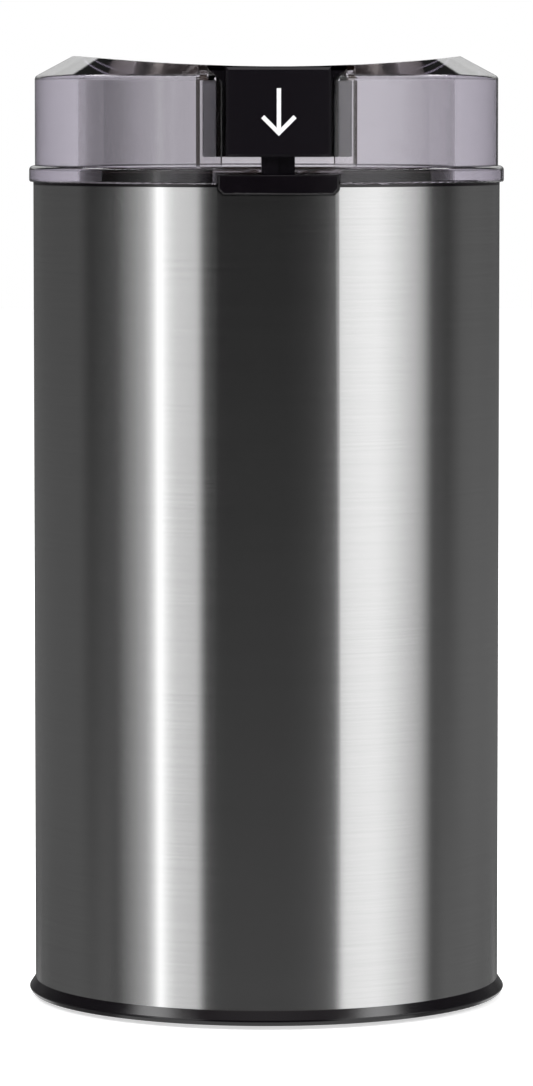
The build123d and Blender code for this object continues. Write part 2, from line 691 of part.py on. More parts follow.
def lid_shell():
    far = lid_r + OVERRUN
    dome = disc(skirt_in_r, seat_top - OVERRUN, ridge_top) - scoop(LID_TOP_WALL)
    lid = lid_envelope() - dome - button_pocket()
    lid -= disc(lid_in_r, seat_top - OVERRUN, seat_top + SLIDE_CLEAR)
    lid -= front_prism(slot_outline(), slot_back, far)
    ear_front = button_back + PLATE_WALL + SLIDE_CLEAR
    lid -= front_block(ear_half + SLIDE_CLEAR, slot_back, ear_front, flare_low, ridge_top + OVERRUN)
    tongue_half = TONGUE_WIDTH / 2 + SLIDE_CLEAR
    lid -= front_block(tongue_half, slot_back, far, seat_top - OVERRUN, ledge_bottom)
    stem_half = STEM_WIDTH / 2 + SLIDE_CLEAR
    lid -= front_block(stem_half, stem_back - SLIDE_CLEAR, far, ledge_bottom - OVERRUN, ledge_top + OVERRUN)
    return lid - disc(BUTTON_SPRING_R + BUTTON_SPRING_WIRE_R + RUN_CLEAR, ledge_top - SPRING_SEAT_DEPTH,
                      ledge_top + OVERRUN, (0, -spring_line))


def plate_ears():
    """The top of the retaining plate, which shows in the flare of the slot."""
    return front_block(ear_half, button_back, button_back + PLATE_WALL, plate_top, ear_top)


def press_button():
    face = front_block(BUTTON_WIDTH / 2, button_back, button_front, button_bottom, button_top)
    face &= disc(BUTTON_CROWN_R, button_bottom, button_top, (0, BUTTON_CROWN_R - button_front))
    crown = face.faces().sort_by(Axis.Y)[0]
    face = chamfer(crown.edges(), BUTTON_EDGE)
    plate = front_block(plate_half, button_back, button_back + PLATE_WALL, button_bottom, plate_top)
    stem = front_block(STEM_WIDTH / 2, stem_back, stem_front, stem_tip, button_bottom)
    step = (-stem_front, STEM_STEP - stem_front)
    stem -= block((0, STEM_WIDTH), step, (stem_tip - OVERRUN, button_bottom))
    pocket = disc(BUTTON_SPRING_R + BUTTON_SPRING_WIRE_R + NEST_CLEAR, button_bottom - OVERRUN,
                  button_bottom + BUTTON_POCKET_DEPTH, (0, -spring_line))
    return face + plate + plate_ears() + stem - pocket


def button_spring():
    low = ledge_top - SPRING_SEAT_DEPTH
    length = button_bottom + BUTTON_POCKET_DEPTH - low
    spring = coil_spring(BUTTON_SPRING_R, BUTTON_SPRING_WIRE_R, length, BUTTON_SPRING_TURNS)
    return Pos(0, -spring_line, low) * spring


# The push rod, its spring and the switch
def push_rod():
    head = front_block(ROD_HEAD_WIDTH / 2, rod_back, rod_front, rod_head_bottom, rod_top)
    pin = disc(ROD_PIN_R, rod_bottom, rod_head_bottom, (0, -rod_line))
    shoulder_bottom = deck_top + ROD_SPRING_LENGTH
    return head + pin + disc(ROD_SHOULDER_R, shoulder_bottom, shoulder_bottom + ROD_SHOULDER, (0, -rod_line))


def rod_spring():
    spring = coil_spring(ROD_SPRING_R, ROD_SPRING_WIRE_R, ROD_SPRING_LENGTH, ROD_SPRING_TURNS)
    return Pos(0, -rod_line, deck_top) * spring


def switch_screw_places():
    middle = -(switch_front + switch_back) / 2
    height = switch_bottom + SWITCH_SCREW_HEIGHT_SHARE * SWITCH_HEIGHT
    return [(middle + share * SWITCH_LENGTH, height) for share in SWITCH_SCREW_SHARES]


def switch_body():
    half = SWITCH_WIDTH / 2
    body = front_block(half, switch_back, switch_front, switch_bottom, switch_top)
    for side in (-1, 1):
        x = sorted((side * half, side * (half - EAR_WALL)))
        ear = block(x, (-lever_line - EAR_LENGTH / 2, -lever_line + EAR_LENGTH / 2),
                    (switch_top, lever_height + EAR_LENGTH / 2))
        body += ear - along_x(LEVER_PIN_R, (-SWITCH_WIDTH, SWITCH_WIDTH), -lever_line, lever_height)
    well_bottom = switch_top - PLUNGER_DEPTH - PLUNGER_BOTTOM_GAP
    body -= disc(PLUNGER_R + RUN_CLEAR, well_bottom, switch_top + OVERRUN, (0, -plunger_line))
    for y, z in switch_screw_places():
        body -= along_x(SWITCH_SCREW_R + RUN_CLEAR, (-SWITCH_WIDTH, SWITCH_WIDTH), y, z)
    return body


def switch_lever():
    half = LEVER_WIDTH / 2
    arm = front_block(half, lever_line, rod_line + LEVER_TIP, lever_bottom, lever_top)
    knuckle = along_x(KNUCKLE_R, (-half, half), -lever_line, lever_height)
    bore = along_x(LEVER_PIN_R + RUN_CLEAR, (-LEVER_WIDTH, LEVER_WIDTH), -lever_line, lever_height)
    return arm + knuckle - bore


def lever_pin():
    return along_x(LEVER_PIN_R, (-SWITCH_WIDTH / 2, SWITCH_WIDTH / 2), -lever_line, lever_height)


def switch_plunger():
    return disc(PLUNGER_R, switch_top - PLUNGER_DEPTH, lever_bottom - SLIDE_CLEAR, (0, -plunger_line))


def terminal_places():
    middle = -(switch_front + switch_back) / 2
    return [middle + share * SWITCH_LENGTH for share in TERMINAL_SHARES]


def switch_terminals():
    half = TERMINAL_WIDTH / 2
    wall = TERMINAL_WALL / 2
    low = switch_bottom - TERMINAL_LENGTH
    tags = [block((-half, half), (y - wall, y + wall), (low, switch_bottom)) for y in terminal_places()]
    return group(tags)


def switch_screws():
    length = SWITCH_WIDTH + SWITCH_PLATE
    one = Rot(0, 90, 0) * screw(SWITCH_SCREW_R, SWITCH_SCREW_HEAD_R, SWITCH_SCREW_HEAD, length)
    start = -SWITCH_WIDTH / 2 - SWITCH_SCREW_HEAD
    return group([Pos(start, y, z) * one for y, z in switch_screw_places()])


# The still half of the motor
def bolt_places():
    return [(-bolt_x, 0), (bolt_x, 0)]


def switch_space():
    """The room that the upper bracket leaves for the switch and its plate."""
    half = SWITCH_WIDTH / 2 + SWITCH_PLATE + SLIDE_CLEAR
    return front_block(half, switch_back - SLIDE_CLEAR, switch_front, switch_bottom, deck_bottom)


def upper_bracket():
    length = STATOR_LENGTH + 2 * UPPER_BRACKET_OVERHANG
    outline = RectangleRounded(length, UPPER_BRACKET_WIDTH, BRACKET_CORNER)
    plate = extrude(outline, BRACKET_WALL)
    bracket = Pos(0, 0, upper_plate_bottom) * plate + disc(hub_out_r, upper_hub_bottom, upper_hub_top)
    for place in bolt_places():
        bracket += disc(LEG_R, stack_top, upper_plate_bottom, place)
        bracket -= disc(BOLT_R + RUN_CLEAR, stack_top - OVERRUN, upper_plate_top + OVERRUN, place)
    for place in rectangle_places(MOUNT_SPACING_X, MOUNT_SPACING_Y):
        hole_r = MOUNT_SCREW_R + RUN_CLEAR
        bracket -= disc(hole_r, upper_plate_bottom - OVERRUN, upper_plate_top + OVERRUN, place)
    return bracket - switch_space() - disc(BEARING_R, upper_hub_bottom - OVERRUN, upper_hub_top + OVERRUN)


def lower_bracket():
    bracket = disc(bolt_x + LOWER_BRACKET_EDGE, lower_plate_bottom, lower_plate_top)
    bracket += disc(hub_out_r, lower_hub_bottom, lower_hub_top)
    for x, y, _ in around(AIR_HOLE_COUNT, AIR_HOLE_CIRCLE_R, 180 / AIR_HOLE_COUNT):
        bracket -= disc(AIR_HOLE_R, lower_plate_bottom - OVERRUN, lower_plate_top + OVERRUN, (x, y))
    for place in bolt_places():
        bracket += disc(LEG_R, lower_plate_top, stack_bottom, place)
        bracket -= disc(BOLT_R + RUN_CLEAR, lower_plate_bottom - OVERRUN, stack_bottom + OVERRUN, place)
    half = BRUSH_WIDTH / 2 + HOLDER_WALL
    holder_bottom = brush_height - BRUSH_HEIGHT / 2 - HOLDER_WALL
    for side in (-1, 1):
        y = sorted((side * holder_inner_y, side * holder_outer_y))
        bracket += block((-half, half), y, (lower_plate_top, holder_bottom))
    return bracket - disc(BEARING_R, lower_hub_bottom - OVERRUN, lower_hub_top + OVERRUN)


def bearing(low):
    return tube(BEARING_R, SHAFT_R + RUN_CLEAR, low, low + BEARING_HEIGHT)


def motor_bolts():
    length = upper_plate_top + NUT_HEIGHT - lower_plate_bottom
    one = screw(BOLT_R, BOLT_HEAD_R, BOLT_HEAD, length)
    return group([Pos(x, y, lower_plate_bottom - BOLT_HEAD) * one for x, y in bolt_places()])


def motor_nuts():
    one = extrude(RegularPolygon(NUT_R, NUT_SIDES) - Circle(BOLT_R), NUT_HEIGHT)
    return group([Pos(x, y, upper_plate_top) * one for x, y in bolt_places()])


def motor_mounts():
    places = rectangle_places(MOUNT_SPACING_X, MOUNT_SPACING_Y)
    bore = MOUNT_SCREW_R + NEST_CLEAR
    return group([tube(MOUNT_R, bore, upper_plate_top, deck_bottom, place) for place in places])


def mount_screws():
    length = deck_top - upper_plate_bottom
    one = Rot(180, 0, 0) * screw(MOUNT_SCREW_R, MOUNT_SCREW_HEAD_R, MOUNT_SCREW_HEAD, length)
    places = rectangle_places(MOUNT_SPACING_X, MOUNT_SPACING_Y)
    return group([Pos(x, y, deck_top + MOUNT_SCREW_HEAD) * one for x, y in places])


def window_middle():
    """The middle of the coil window in one quarter of the stator."""
    x = STATOR_LENGTH / 2 - WINDOW_OUT - WINDOW_LENGTH / 2
    y = STATOR_WIDTH / 2 - WINDOW_SIDE - WINDOW_WIDTH / 2
    return x, y


def stator_core():
    outline = RectangleRounded(STATOR_LENGTH, STATOR_WIDTH, STATOR_CORNER) - Circle(stator_bore_r)
    x, y = window_middle()
    for place in rectangle_places(2 * x, 2 * y):
        outline -= Pos(*place) * Rectangle(WINDOW_LENGTH, WINDOW_WIDTH)
    for place in bolt_places():
        outline -= Pos(*place) * Circle(BOLT_R + RUN_CLEAR)
    return Pos(0, 0, stack_bottom) * extrude(outline, STACK_HEIGHT)


def field_coils():
    x, y = window_middle()
    wall = WINDOW_WIDTH - 2 * COIL_CLEAR
    middle = (stack_bottom + stack_top) / 2
    inner_width = 2 * y - wall
    inner_height = STACK_HEIGHT + 2 * COIL_CLEAR
    outer_height = STACK_HEIGHT + 2 * coil_reach
    ring = RectangleRounded(2 * y + wall, outer_height, COIL_CORNER) - Rectangle(inner_width, inner_height)
    depth = WINDOW_LENGTH - 2 * COIL_CLEAR
    coil = extrude(Plane.YZ * ring, depth)
    return group([Pos(side * x - depth / 2, 0, middle) * coil for side in (-1, 1)])


def holder_y(side, near, far):
    return sorted((side * near, side * far))


def brush_holders():
    half = BRUSH_WIDTH / 2 + HOLDER_WALL
    tall = BRUSH_HEIGHT / 2 + HOLDER_WALL
    holders = []
    for side in (-1, 1):
        outer = block((-half, half), holder_y(side, holder_inner_y, holder_outer_y),
                      (brush_height - tall, brush_height + tall))
        inner = block((HOLDER_WALL - half, half - HOLDER_WALL),
                      holder_y(side, holder_inner_y - OVERRUN, holder_outer_y - HOLDER_WALL),
                      (brush_height - BRUSH_HEIGHT / 2, brush_height + BRUSH_HEIGHT / 2))
        holders.append(outer - inner)
    return group(holders)


def carbon_brushes():
    half = BRUSH_WIDTH / 2 - RUN_CLEAR
    tall = BRUSH_HEIGHT / 2 - RUN_CLEAR
    near = COMMUTATOR_R + BRUSH_GAP
    brushes = []
    for side in (-1, 1):
        y = holder_y(side, 0, near + BRUSH_LENGTH)
        blank = block((-half, half), y, (brush_height - tall, brush_height + tall))
        brushes.append(blank - disc(near, brush_height - BRUSH_HEIGHT, brush_height + BRUSH_HEIGHT))
    return group(brushes)


def brush_springs():
    start = COMMUTATOR_R + BRUSH_GAP + BRUSH_LENGTH
    length = holder_outer_y - HOLDER_WALL - start
    one = coil_spring(BRUSH_SPRING_R, BRUSH_SPRING_WIRE_R, length, BRUSH_SPRING_TURNS)
    return group([Pos(0, side * start, brush_height) * Rot(-90 * side, 0, 0) * one for side in (-1, 1)])


# The rotor, with the blade on its end
def motor_shaft():
    ends = disc(SHAFT_R, shaft_bottom, shaft_top)
    return chamfer(ends.edges().filter_by(GeomType.CIRCLE), SHAFT_EDGE)


def armature_core():
    core = tube(armature_r, SHAFT_R, stack_bottom, stack_top)
    half = ARMATURE_SLOT_WIDTH / 2
    slot = block((armature_r - ARMATURE_SLOT_DEPTH, armature_r + OVERRUN), (-half, half),
                 (stack_bottom - OVERRUN, stack_top + OVERRUN))
    for _, _, angle in around(ARMATURE_SLOTS, armature_r):
        core -= Rot(0, 0, angle) * slot
    return core


def armature_winding():
    ring = tube(winding_r, SHAFT_R, 0, WINDING_HEIGHT)
    top = fillet(ring.faces().sort_by(Axis.Z)[-1].edges().sort_by(SortBy.LENGTH)[-1], WINDING_ROUND)
    winding = Pos(0, 0, stack_top) * top + Pos(0, 0, stack_bottom) * Rot(180, 0, 0) * top
    half = ARMATURE_SLOT_WIDTH / 2 - WIRE_CLEAR
    bar = block((armature_r - ARMATURE_SLOT_DEPTH + WIRE_CLEAR, winding_r - WINDING_ROUND), (-half, half),
                (stack_bottom, stack_top))
    for _, _, angle in around(ARMATURE_SLOTS, winding_r):
        winding += Rot(0, 0, angle) * bar
    return winding


def commutator():
    barrel = tube(COMMUTATOR_R, SHAFT_R, commutator_bottom, commutator_top)
    groove = block((COMMUTATOR_R - COMMUTATOR_GROOVE_DEPTH, COMMUTATOR_R + OVERRUN),
                   (-COMMUTATOR_GROOVE_WIDTH / 2, COMMUTATOR_GROOVE_WIDTH / 2),
                   (commutator_bottom - OVERRUN, commutator_top + OVERRUN))
    for _, _, angle in around(COMMUTATOR_GROOVES, COMMUTATOR_R):
        barrel -= Rot(0, 0, angle) * groove
    return barrel


def cooling_fan():
    fan_top = fan_bottom + FAN_HEIGHT
    half = FAN_BLADE_WALL / 2
    fan = disc(fan_r, fan_bottom, fan_bottom + FAN_WALL) + disc(FAN_HUB_R, fan_bottom, fan_top)
    blade = block((FAN_HUB_R - FAN_BLADE_WALL, fan_r - FAN_BLADE_WALL), (-half, half), (fan_bottom, fan_top))
    for _, _, angle in around(FAN_BLADES, fan_r):
        fan += Rot(0, 0, angle) * blade
    return fan - disc(SHAFT_R, fan_bottom - OVERRUN, fan_top + OVERRUN)


def thrust_washers():
    low = tube(WASHER_R, SHAFT_R, lower_hub_top, commutator_bottom)
    high = tube(WASHER_R, SHAFT_R, upper_hub_bottom - WASHER_WALL, upper_hub_bottom)
    return group([low, high])


def blade_hub():
    cone = Cone(HUB_R, HUB_TOP_R, HUB_HEIGHT, align=(Align.CENTER, Align.CENTER, Align.MIN))
    return Pos(0, 0, hub_bottom) * cone - disc(SHAFT_R, hub_bottom - OVERRUN, blade_bottom + OVERRUN)


def grinding_blade():
    """A flat bar whose two arms taper and rise past the bend."""
    tip = blade_tip_r
    bend = tip * BLADE_BEND_SHARE
    side = make_face(Plane.XZ * Polyline([
        (-tip, blade_bottom + BLADE_LIFT), (-bend, blade_bottom), (bend, blade_bottom),
        (tip, blade_bottom + BLADE_LIFT), (tip, blade_top + BLADE_LIFT), (bend, blade_top),
        (-bend, blade_top), (-tip, blade_top + BLADE_LIFT)], close=True))
    bar = extrude(side, amount=BLADE_WIDTH / 2, both=True)
    root = BLADE_WIDTH / 2
    end = BLADE_TIP_WIDTH / 2
    plan = make_face(Polyline([
        (-tip, -end), (0, -root), (tip, -end), (tip, end), (0, root), (-tip, end)], close=True))
    bar &= Pos(0, 0, blade_bottom - OVERRUN) * extrude(plan, BLADE_WALL + BLADE_LIFT + 2 * OVERRUN)
    return bar - disc(SHAFT_R, blade_bottom - OVERRUN, blade_top + OVERRUN)


def blade_nut():
    flats = extrude(RegularPolygon(BLADE_NUT_R, NUT_SIDES), BLADE_NUT_HEIGHT - BLADE_NUT_CAP)
    nut = Pos(0, 0, blade_top) * flats
    cap = Cone(BLADE_NUT_R * cos(pi / NUT_SIDES), SHAFT_R + BLADE_NUT_CAP, BLADE_NUT_CAP,
               align=(Align.CENTER, Align.CENTER, Align.MIN))
    nut += Pos(0, 0, nut_top - BLADE_NUT_CAP) * cap
    return nut - disc(SHAFT_R, blade_top - OVERRUN, nut_top + OVERRUN)


# Terminal block, capacitor and leads
def block_middle():
    return base_spigot_in_r - BLOCK_INSET


def block_screw_places():
    return [(-BLOCK_SCREW_SPACING / 2, block_middle()), (BLOCK_SCREW_SPACING / 2, block_middle())]


def terminal_block():
    y = block_middle()
    body = block((-BLOCK_LENGTH / 2, BLOCK_LENGTH / 2), (y - BLOCK_WIDTH / 2, y + BLOCK_WIDTH / 2),
                 (floor_top, floor_top + BLOCK_HEIGHT))
    top = floor_top + BLOCK_HEIGHT
    for place in block_screw_places():
        body -= disc(BLOCK_SCREW_R, top - BLOCK_SCREW_DEPTH, top + OVERRUN, place)
    return body


def terminal_screws():
    low = floor_top + BLOCK_HEIGHT - BLOCK_SCREW_DEPTH
    slot = block((-BLOCK_SCREW_R, BLOCK_SCREW_R), (-CROSS_WIDTH / 2, CROSS_WIDTH / 2),
                 (low + CROSS_DEPTH, low + 2 * CROSS_DEPTH))
    one = disc(BLOCK_SCREW_R - RUN_CLEAR, low, low + 2 * CROSS_DEPTH) - slot
    return group([Pos(x, y, 0) * one for x, y in block_screw_places()])


def suppressor_capacitor():
    half = CAPACITOR_LENGTH / 2
    body = block((CAPACITOR_X - CAPACITOR_WIDTH / 2, CAPACITOR_X + CAPACITOR_WIDTH / 2), (-half, half),
                 (floor_top, floor_top + CAPACITOR_HEIGHT))
    return chamfer(body.edges().filter_by(Axis.Z), CAPACITOR_EDGE)


def lead(points):
    """An insulated wire along straight runs joined by arcs as large as the runs allow."""
    radii = []
    for before, here, after in zip(points, points[1:], points[2:]):
        first = Vector(here) - Vector(before)
        second = Vector(after) - Vector(here)
        turn = radians(first.get_angle(second))
        radii.append(LEAD_BEND_SHARE * min(first.length, second.length) / tan(turn / 2))
    path = FilletPolyline(points, radius=radii)
    wire = sweep(Plane(origin=path @ 0, z_dir=path % 0) * Circle(LEAD_R), path=path)
    print("lead, bend radii:", [round(radius, 1) for radius in radii],
          "volume against section times length:", round(wire.volume / (pi * LEAD_R ** 2 * path.length), 4))
    return wire


def switch_lead():
    """From the terminal block up the right-hand wall to the switch."""
    return lead([(4, 25.7, 9), (4, 19, 9), (9, 11, 12), (20, 1, 18), (30, -8, 28), (35, -16, 44),
                 (33, -22, 60), (23, -31, 72), (9, -38, 80), (0, -39.62, 86), (0, -39.62, 93.5)])


def field_lead():
    """From the switch to the right-hand field coil."""
    return lead([(0, -33.5, 93.5), (0, -33.5, 90), (5, -32, 87), (12, -28, 88), (18, -23, 92),
                 (18, -18.1, 92)])


def brush_lead():
    """From the terminal block to the rear brush."""
    return lead([(-9, 30.2, 9), (-13, 30.2, 9), (-18, 32, 14), (-19, 33.5, 24), (-15, 34.5, 35),
                 (-8, 33.5, 45), (0, 30.5, 50.6), (0, 25.4, 50.6)])


def bridge_lead():
    """From the front brush to the left-hand field coil."""
    return lead([(0, -25.4, 50.6), (0, -30, 50.6), (-7, -32, 53), (-14, -28, 59), (-18, -23, 63.8),
                 (-18, -18.1, 63.8)])


def main():
    os.makedirs("parts", exist_ok=True)
    pieces = [
        rubber_feet, base_cover, base_screws, steel_sleeve, cord_gland, inner_housing, top_collar,
        grinding_bowl, bowl_bush, shaft_seal, lid_shell, press_button, button_spring, push_rod,
        rod_spring, switch_body, switch_lever, lever_pin, switch_plunger, switch_terminals, switch_screws,
        upper_bracket, lower_bracket, motor_bolts, motor_nuts, motor_mounts, mount_screws, stator_core,
        field_coils, brush_holders, carbon_brushes, brush_springs, motor_shaft, armature_core,
        armature_winding, commutator, cooling_fan, thrust_washers, blade_hub, grinding_blade, blade_nut,
        terminal_block, terminal_screws, suppressor_capacitor, switch_lead, field_lead, brush_lead,
        bridge_lead]
    for piece in pieces:
        export_step(piece(), f"parts/{piece.__name__}.step")
    export_step(bearing(upper_hub_bottom), "parts/upper_bearing.step")
    export_step(bearing(lower_hub_bottom), "parts/lower_bearing.step")


main()
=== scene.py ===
"""Electric coffee grinder: finishes, springs, guides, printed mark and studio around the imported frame."""

import json
import math

import bmesh
import bpy
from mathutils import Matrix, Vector


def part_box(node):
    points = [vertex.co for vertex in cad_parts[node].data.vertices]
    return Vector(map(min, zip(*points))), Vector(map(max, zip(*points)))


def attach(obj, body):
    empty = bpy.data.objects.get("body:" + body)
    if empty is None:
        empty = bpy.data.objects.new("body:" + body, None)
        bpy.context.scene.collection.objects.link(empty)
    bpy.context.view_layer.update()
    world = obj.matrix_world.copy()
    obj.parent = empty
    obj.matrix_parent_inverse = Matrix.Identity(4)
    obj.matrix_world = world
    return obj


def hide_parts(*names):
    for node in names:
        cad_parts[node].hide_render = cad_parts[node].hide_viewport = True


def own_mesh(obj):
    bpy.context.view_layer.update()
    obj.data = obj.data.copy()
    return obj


bl_info = {
    "name": "Coffee Grinder",
    "version": (1, 0, 0),
    "blender": (4, 5, 0),
    "location": "View3D > Sidebar > Grinder",
    "description": "Dresses an upright blade coffee grinder with its finishes and sets its studio",
    "category": "Object",
}

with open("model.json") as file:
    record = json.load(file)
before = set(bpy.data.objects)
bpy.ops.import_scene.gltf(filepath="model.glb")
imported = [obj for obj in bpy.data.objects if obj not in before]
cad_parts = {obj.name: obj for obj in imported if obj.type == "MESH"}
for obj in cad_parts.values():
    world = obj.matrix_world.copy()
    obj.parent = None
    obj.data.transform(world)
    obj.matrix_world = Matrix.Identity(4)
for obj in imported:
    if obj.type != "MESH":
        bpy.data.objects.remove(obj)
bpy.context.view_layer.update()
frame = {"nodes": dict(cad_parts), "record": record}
MM = 0.001
# Corners closer than this are one corner
MERGE = 0.001 * MM


def srgb(code):
    """A hex colour as linear RGBA."""
    parts = [int(code[i:i + 2], 16) / 255 for i in (1, 3, 5)]
    linear = [p / 12.92 if p <= 0.04045 else ((p + 0.055) / 1.055) ** 2.4 for p in parts]
    return (*linear, 1.0)


def shade(colour, share):
    """A colour taken down to a share of its light."""
    return (*[part * share for part in colour[:3]], 1.0)


def per(size_mm):
    """The texture scale whose features are this many millimetres apart."""
    return 1 / (size_mm * MM)


def add(tree, kind, inputs=None, stops=None, **settings):
    """Adds one shader node. Inputs are values or sockets to link, stops fill a colour ramp."""
    node = tree.nodes.new(kind)
    for name, value in settings.items():
        setattr(node, name, value)
    for name, value in (inputs or {}).items():
        if isinstance(value, bpy.types.NodeSocket):
            tree.links.new(value, node.inputs[name])
        else:
            node.inputs[name].default_value = value
    for index, (position, colour) in enumerate(stops or []):
        ramp = node.color_ramp.elements
        stop = ramp[index] if index < 2 else ramp.new(position)
        stop.position = position
        stop.color = colour
    return node


def new_material(name, **sockets):
    """A material with one Principled shader, whose constant sockets are given by name."""
    material = bpy.data.materials.new(name)
    material.use_nodes = True
    tree = material.node_tree
    tree.nodes.clear()
    shader = add(tree, "ShaderNodeBsdfPrincipled", {key.replace("_", " "): v for key, v in sockets.items()})
    add(tree, "ShaderNodeOutputMaterial", {"Surface": shader.outputs[0]})
    return material, tree, shader


def object_pattern(tree, size_mm, stretch=(1, 1, 1), detail=3.0, roughness=0.6):
    """Noise on object coordinates with features of the given size, drawn out along the stretched axes."""
    place = add(tree, "ShaderNodeTexCoord")
    scale = [per(size_mm) / s for s in stretch]
    mapped = add(tree, "ShaderNodeMapping", {"Vector": place.outputs["Object"], "Scale": scale})
    return add(tree, "ShaderNodeTexNoise", {"Vector": mapped.outputs[0], "Scale": 1.0, "Detail": detail,
                                            "Roughness": roughness}).outputs["Fac"]


def vary(tree, shader, pattern, dark, light, rough, bump_mm=0.0):
    """Lets a pattern carry colour from dark to light, roughness between two values, and a fine relief."""
    colour = add(tree, "ShaderNodeMix", {0: pattern, 6: dark, 7: light}, data_type="RGBA")
    tree.links.new(colour.outputs[2], shader.inputs["Base Color"])
    gloss = add(tree, "ShaderNodeMapRange", {"Value": pattern, "To Min": rough[0], "To Max": rough[1]})
    tree.links.new(gloss.outputs[0], shader.inputs["Roughness"])
    if bump_mm:
        relief = add(tree, "ShaderNodeBump", {"Height": pattern, "Distance": bump_mm * MM, "Strength": 1.0})
        tree.links.new(relief.outputs[0], shader.inputs["Normal"])


# Finishes: brush lines and moulded grain are drawn coarser than real ones, so that they show in the render

def brushed_stainless():
    """Stainless tube, brushed around its axis: the fine hoops draw every reflection out along the tube."""
    material, tree, shader = new_material("brushed_stainless", Metallic=1.0, Anisotropic=0.95,
                                          Anisotropic_Rotation=0.25)
    tangent = add(tree, "ShaderNodeTangent", direction_type="RADIAL", axis="Z")
    tree.links.new(tangent.outputs[0], shader.inputs["Tangent"])
    hoops = object_pattern(tree, size_mm=0.24, stretch=(160, 160, 1), detail=4.0, roughness=0.75)
    steel = bpy.context.scene.grinder_colours.steel
    vary(tree, shader, hoops, shade(steel, 0.82), shade(steel, 1.0), rough=(0.17, 0.25), bump_mm=0.002)
    return material


def drawn_stainless():
    """Bowl steel, deep drawn and polished on a lathe: bright, with faint turning rings."""
    material, tree, shader = new_material("drawn_stainless", Metallic=1.0)
    rings = object_pattern(tree, size_mm=0.5, stretch=(60, 60, 1))
    vary(tree, shader, rings, srgb("#bdbbb9"), srgb("#d8d6d3"), rough=(0.12, 0.2), bump_mm=0.002)
    return material


def ground_blade_steel():
    """Hardened blade strip, surface ground along its length and left bright."""
    material, tree, shader = new_material("ground_blade_steel", Metallic=1.0)
    lines = object_pattern(tree, size_mm=0.3, stretch=(1, 40, 1))
    vary(tree, shader, lines, srgb("#a9a7a6"), srgb("#d3d1cf"), rough=(0.16, 0.3), bump_mm=0.003)
    return material


def moulded_black_satin():
    """Black ABS from a finely spark-eroded mould: a soft even sheen with a grain like fine sandpaper."""
    material, tree, shader = new_material("moulded_black_satin", IOR=1.53)
    grain = object_pattern(tree, size_mm=0.18, detail=2.0)
    black = bpy.context.scene.grinder_colours.button
    vary(tree, shader, grain, shade(black, 0.65), shade(black, 1.0), rough=(0.2, 0.28), bump_mm=0.004)
    return material


def moulded_black_gloss():
    """Black ABS from a polished mould: deep gloss with a faint long ripple."""
    material, tree, shader = new_material("moulded_black_gloss", IOR=1.53)
    ripple = object_pattern(tree, size_mm=6.0, detail=1.0)
    black = bpy.context.scene.grinder_colours.trim
    vary(tree, shader, ripple, shade(black, 0.7), shade(black, 1.0), rough=(0.1, 0.18), bump_mm=0.004)
    return material


def clear_smoke_plastic():
    """Clear styrene acrylonitrile with a breath of smoke in it: pale through a wall, brown along an edge."""
    material, tree, shader = new_material("clear_smoke_plastic", Transmission_Weight=1.0, IOR=1.5)
    flow = object_pattern(tree, size_mm=9.0, detail=1.0)
    colours = bpy.context.scene.grinder_colours
    vary(tree, shader, flow, shade(colours.lid, 0.95), shade(colours.lid, 1.0), rough=(0.015, 0.04))
    smoke = add(tree, "ShaderNodeVolumeAbsorption", {"Color": colours.smoke,
                                                     "Density": colours.smoke_density})
    tree.links.new(smoke.outputs[0], tree.nodes["Material Output"].inputs["Volume"])
    return material


def white_print():
    """Pad-printed white ink: flat, with the faint mottle of the pad."""
    material, tree, shader = new_material("white_print", IOR=1.5)
    mottle = object_pattern(tree, size_mm=0.4)
    ink = bpy.context.scene.grinder_colours.ink
    vary(tree, shader, mottle, shade(ink, 0.88), shade(ink, 1.0), rough=(0.4, 0.5))
    return material


def grey_nylon():
    """Nylon dyed grey, moulded in a satin tool: the button's guides, seen through the lid's wall."""
    material, tree, shader = new_material("grey_nylon", IOR=1.53)
    grain = object_pattern(tree, size_mm=0.25, detail=2.0)
    grey = bpy.context.scene.grinder_colours.guides
    vary(tree, shader, grain, shade(grey, 0.8), shade(grey, 1.0), rough=(0.34, 0.44), bump_mm=0.006)
    return material


def black_rubber():
    """Moulded rubber: dull, dusty black with a fine grain."""
    material, tree, shader = new_material("black_rubber", IOR=1.52)
    dust = object_pattern(tree, size_mm=0.5)
    vary(tree, shader, dust, srgb("#151415"), srgb("#242223"), rough=(0.62, 0.8), bump_mm=0.01)
    return material


def zinc_plate():
    """Zinc-plated steel, clear passivated: cool grey with a soft cloudiness."""
    material, tree, shader = new_material("zinc_plate", Metallic=1.0)
    cloud = object_pattern(tree, size_mm=2.0)
    vary(tree, shader, cloud, srgb("#a9acb0"), srgb("#c6c9cb"), rough=(0.26, 0.42))
    return material


def ground_steel():
    """Centreless-ground steel rod: bright, with hair-fine hoops."""
    material, tree, shader = new_material("ground_steel", Metallic=1.0)
    hoops = object_pattern(tree, size_mm=0.2, stretch=(30, 30, 1))
    vary(tree, shader, hoops, srgb("#b4b3b3"), srgb("#cfcecd"), rough=(0.12, 0.22))
    return material


def spring_steel():
    """Drawn spring wire and strip: grey steel with a trace of drawing soap."""
    material, tree, shader = new_material("spring_steel", Metallic=1.0)
    soap = object_pattern(tree, size_mm=0.8)
    vary(tree, shader, soap, srgb("#8d8c8d"), srgb("#b6b5b4"), rough=(0.22, 0.36))
    return material


def laminated_core():
    """Electrical steel sheets stacked half a millimetre apart: dark oxide with bright cut edges."""
    material, tree, shader = new_material("laminated_core", Metallic=1.0)
    sheets = object_pattern(tree, size_mm=0.5, stretch=(80, 80, 1), detail=0.0)
    vary(tree, shader, sheets, srgb("#5a5b60"), srgb("#8d8e92"), rough=(0.4, 0.6), bump_mm=0.03)
    return material


